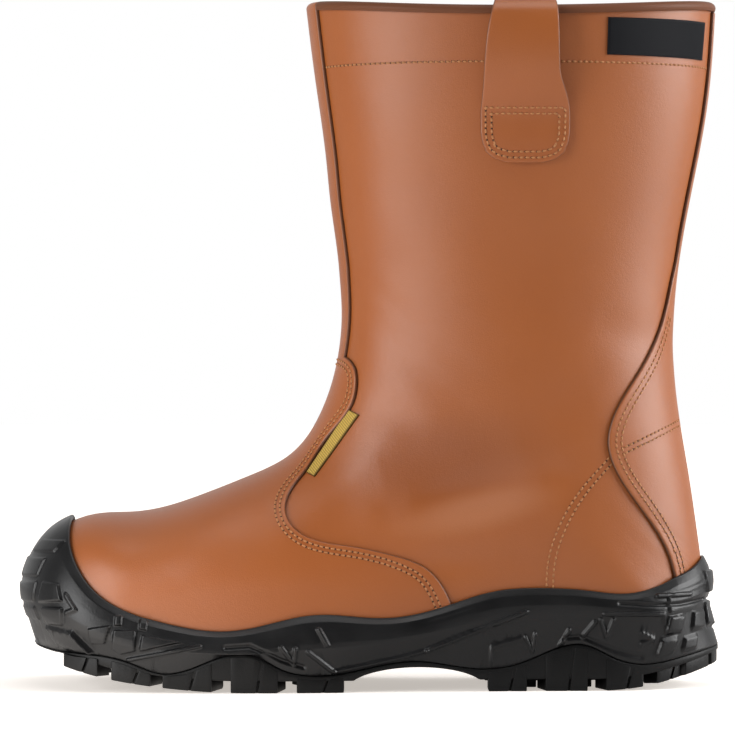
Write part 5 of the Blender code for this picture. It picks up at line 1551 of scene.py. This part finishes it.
def moulded_material(name, colour, scuff, roughness, grain, bump, specular):
    """Moulded black rubber or polyurethane: fine pitted skin with slightly uneven gloss."""
    material, tree, shader = new_material(name)
    place = object_place(tree)
    cloud = noise(tree, place, 45.0, 4.0)
    fill(tree, shader, {
        "Base Color": mixed(tree, cloud, colour, scuff),
        "Roughness": ranged(tree, cloud, 0.3, 0.7, roughness - 0.07, roughness + 0.09),
        "Normal": bumped(tree, noise(tree, place, grain, 3.0), bump, 0.0003),
        "Specular IOR Level": specular})
    return material


black_moulding = moulded_material("black_polyurethane", (0.004, 0.004, 0.0044, 1.0),
                                  (0.008, 0.008, 0.0088, 1.0), 0.36, 1300.0, 0.18, 0.45)
add_piece("midsole_moulding", midsole_mesh, black_moulding, "moulded_polyurethane", "midsole")


# Outsole: a plate of black nitrile rubber bonded under the midsole along its wavy edge, with lugs along
# both sides, chevrons between them and a bare arch.
GROUND = (
    # x, z under the lugs
    (-150.0, 21.0), (-138.0, 13.6), (-124.0, 8.6), (-109.0, 5.2), (-90.0, 2.4), (-70.0, 0.6),
    (-52.0, 0.0), (0.0, 0.0), (50.0, 0.0), (100.0, 0.0), (118.0, 1.6), (134.0, 5.2), (152.0, 10.6),
)
ARCH = (-8.0, 50.0, 10.4)
LUG_DEPTH = 5.0
PLATE_LEAST = 1.0
LUG_INSET = 0.5
LUG_BEVEL = 0.5
LUG_ROOT = 0.8          # how far a lug goes up into the plate
LUG_SHARP = math.radians(50)
SIPE = 0.9              # width of the slits that divide the outer faces of the lugs
SIPE_DEPTH = 0.9
SIPE_LEAN = 2.4
SIPE_PLACE = 0.55       # share of a lug's length at which its slit is
CHEEK_PROUD = 0.3       # how far the outer faces of the lugs stand out from the plate
CHEEK_BELOW = 1.6       # how far below the wavy line they end
CHEEK_ROOT = 0.6        # and how far up into the plate they go at least
CHEEK_DEEP = 2.7        # how far in from the sole's edge they reach
CHEEK_CLEAR = 0.02      # how far they end above the lugs' lower faces
SIDE_LUGS = (
    # start x, end x, depth across the sole, how far back the inner end is swept
    (-130.0, -115.0, 20.0, 4.0), (-109.0, -92.0, 21.0, 4.0), (-87.0, -66.0, 22.0, 4.0),
    (-58.0, -38.0, 22.0, 3.0), (-30.0, -10.0, 20.0, 0.0), (51.6, 68.0, 16.0, 0.0),
    (76.0, 94.0, 17.0, -3.0), (102.0, 118.0, 17.0, -4.0), (124.0, 135.0, 14.0, -5.0),
)
HEEL_LUGS = (-29.0, -15.5, 0.0, 15.5, 29.0)     # y where the lugs round the back of the heel meet
HEEL_LUG_GAP = 2.6
HEEL_LUG_DEPTH = 11.0
HEEL_LUG_TAPER = 0.75   # width of their inner ends as a share of the outer ones
HEEL_FROM_X = 100.0
CHEVRON_GAP = 0.5       # from the middle line to the start of an arm
PLATE_EDGE = (
    # inset, share of the height down from the wavy line
    (0.7, 0.0), (0.15, 0.05), (0.0, 0.14), (0.0, 0.5), (0.0, 0.86), (0.2, 0.96), (0.7, 1.0),
)
CHEVRONS = (
    # tip x, length along the boot, half-width, how far back the arms are swept
    (-126.0, 10.0, 14.0, 5.0), (-105.0, 11.0, 20.0, 8.0), (-83.0, 12.0, 23.0, 9.0),
    (-58.0, 13.0, 23.0, 9.0), (-33.0, 13.0, 20.0, 8.0), (56.0, 12.0, 16.0, 5.0),
    (80.0, 12.0, 15.0, 5.0), (104.0, 12.0, 14.0, 5.0),
)
ground_line = line_height(GROUND)


def ground_height(x):
    """Height of the lugs' lower faces above the floor."""
    return np.maximum(ground_line(x), 0.0)


def tread_base(x):
    """Height of the outsole's underside between the lugs."""
    start, end, height = ARCH
    share = np.clip((np.asarray(x, float) - start) / (end - start), 0, 1)
    lift = np.clip(height * np.sin(math.pi * share) ** 0.35 - LUG_DEPTH, 0, None)
    return ground_height(x) + LUG_DEPTH + lift


def sole_edge(x, side):
    """Outer edge of the sole in plan at x, on the outer (-1) or inner (1) side."""
    outer, inner = foot_edge(np.clip(x, FOOT_TOE_X + 6, FOOT_HEEL_X - 4))
    return (outer if side < 0 else inner) + side * (SOLE_WALL[0][1] - LUG_INSET)


def lug_block(shape, low, high):
    """Adds one bevelled block to a mesh, from the points of its lower and upper face."""
    low = [shape.verts.new(point) for point in low * MM]
    high = [shape.verts.new(point) for point in high * MM]
    faces = [shape.faces.new(low), shape.faces.new(high[::-1])]
    for i in range(len(low)):
        k = (i + 1) % len(low)
        faces.append(shape.faces.new((low[i], high[i], high[k], low[k])))
    bmesh.ops.recalc_face_normals(shape, faces=faces)
    edges = {edge for face in faces for edge in face.edges}
    bmesh.ops.bevel(shape, geom=list(edges), offset=LUG_BEVEL * MM, segments=2, profile=0.6,
                    affect="EDGES", clamp_overlap=True)


def plain_lug(shape, plan):
    """Adds a block from its plan polygon, between the plate and the ground."""
    lug_block(shape, at_height(plan, ground_height(plan[:, 0])),
              at_height(plan, tread_base(plan[:, 0]) + LUG_ROOT))


def side_lug(shape, start, end, depth, skew, side):
    """Adds a lug at the sole's edge: a block, and two cheeks up the wall, parted by a slanted slit."""
    x = np.linspace(start, end, 4)
    edge = np.stack([x, sole_edge(x, side) - side * SIPE_DEPTH], 1)
    inner_x = np.array([end + skew, start + skew])
    inner = np.stack([inner_x, sole_edge(inner_x, side) - side * depth], 1)
    plain_lug(shape, np.concatenate([edge, inner]))
    slit = start + (end - start) * SIPE_PLACE
    for ends, leans in (((start, slit - SIPE / 2), (0.0, SIPE_LEAN)),
                        ((slit + SIPE / 2, end), (SIPE_LEAN, 0.0))):
        low_x = np.linspace(*ends, 5)
        high_x = low_x + np.linspace(*leans, 5)
        rings = []
        for x, lowered in ((low_x, True), (high_x, False)):
            face = np.stack([x, sole_edge(x, side) + side * (LUG_INSET + CHEEK_PROUD)], 1)
            back = np.stack([x[::-1], sole_edge(x[::-1], side) - side * CHEEK_DEEP], 1)
            plan = np.concatenate([face, back])
            top = np.maximum(tread_height(plan[:, 0]) - CHEEK_BELOW, tread_base(plan[:, 0]) + CHEEK_ROOT)
            rings.append(at_height(plan, ground_height(plan[:, 0]) + CHEEK_CLEAR if lowered else top))
        lug_block(shape, *rings)


def heel_lug(shape, start, end, outline):
    """Adds a lug at the back of the heel, between two places across the sole."""
    y = np.linspace(start + HEEL_LUG_GAP / 2, end - HEEL_LUG_GAP / 2, 6)
    x = np.interp(y, outline[:, 1], outline[:, 0]) - LUG_INSET
    back = np.stack([x, y], 1)
    front = np.stack([x - HEEL_LUG_DEPTH, HEEL_LUG_TAPER * y], 1)[::-1]
    plain_lug(shape, np.concatenate([back, front]))


tread_shape = bmesh.new()
for start, end, depth, skew in SIDE_LUGS:
    for side in (-1, 1):
        side_lug(tread_shape, start, end, depth, skew, side)
for tip, length, half_width, sweep in CHEVRONS:
    middle = float(spine_points(np.array([[tip, 0.0]]))[0, 1])
    for arm in (-1, 1):
        plan = np.array([(tip, middle + arm * CHEVRON_GAP), (tip + sweep, middle + arm * half_width),
                         (tip + sweep + length, middle + arm * half_width),
                         (tip + length, middle + arm * CHEVRON_GAP)])
        plain_lug(tread_shape, plan)
plate_spots, plate_normals = foot_outline(SOLE_PAIRS // 2)
plate_edge = sole_foot(plate_spots, plate_normals)
heel_edge = plate_edge[plate_edge[:, 0] > HEEL_FROM_X]
heel_edge = heel_edge[np.argsort(heel_edge[:, 1])]
for start, end in zip(HEEL_LUGS, HEEL_LUGS[1:]):
    heel_lug(tread_shape, start, end, heel_edge)
lug_mesh = bpy.data.meshes.new("outsole_lugs")
tread_shape.to_mesh(lug_mesh)
tread_shape.free()
lug_mesh.shade_smooth()
lug_mesh.set_sharp_from_angle(angle=LUG_SHARP)

plate_low = np.minimum(tread_base(plate_edge[:, 0]), plate_edge[:, 2] - PLATE_LEAST)
plate_spine = spine_points(plate_spots)
plate_rows = [at_height(plate_spine, base_height(plate_spine[:, 0]) - LAYER_GAP)]
plate_inner = plate_spots + plate_normals * UNDER_OUT
plate_rows.append(at_height(plate_inner, base_height(plate_inner[:, 0]) - LAYER_GAP))
for inset, share in PLATE_EDGE:
    edge = plate_edge[:, :2] - plate_normals * inset
    plate_rows.append(at_height(edge, plate_edge[:, 2] - LAYER_GAP
                                + (plate_low - plate_edge[:, 2] + LAYER_GAP) * share))
plate_rows.append(at_height(plate_spine, np.minimum(tread_base(plate_spine[:, 0]),
                                                    base_height(plate_spine[:, 0]) - PLATE_LEAST)))
plate_mesh = mesh_from_grids("outsole_plate", ringed(plate_rows))
black_rubber = moulded_material("black_nitrile_rubber", (0.003, 0.003, 0.0033, 1.0),
                                (0.006, 0.006, 0.006, 1.0), 0.46, 1500.0, 0.25, 0.3)
add_piece("outsole_plate", plate_mesh, black_rubber, "tread_rubber", "outsole")
add_piece("outsole_lugs", lug_mesh, black_rubber, "tread_rubber")
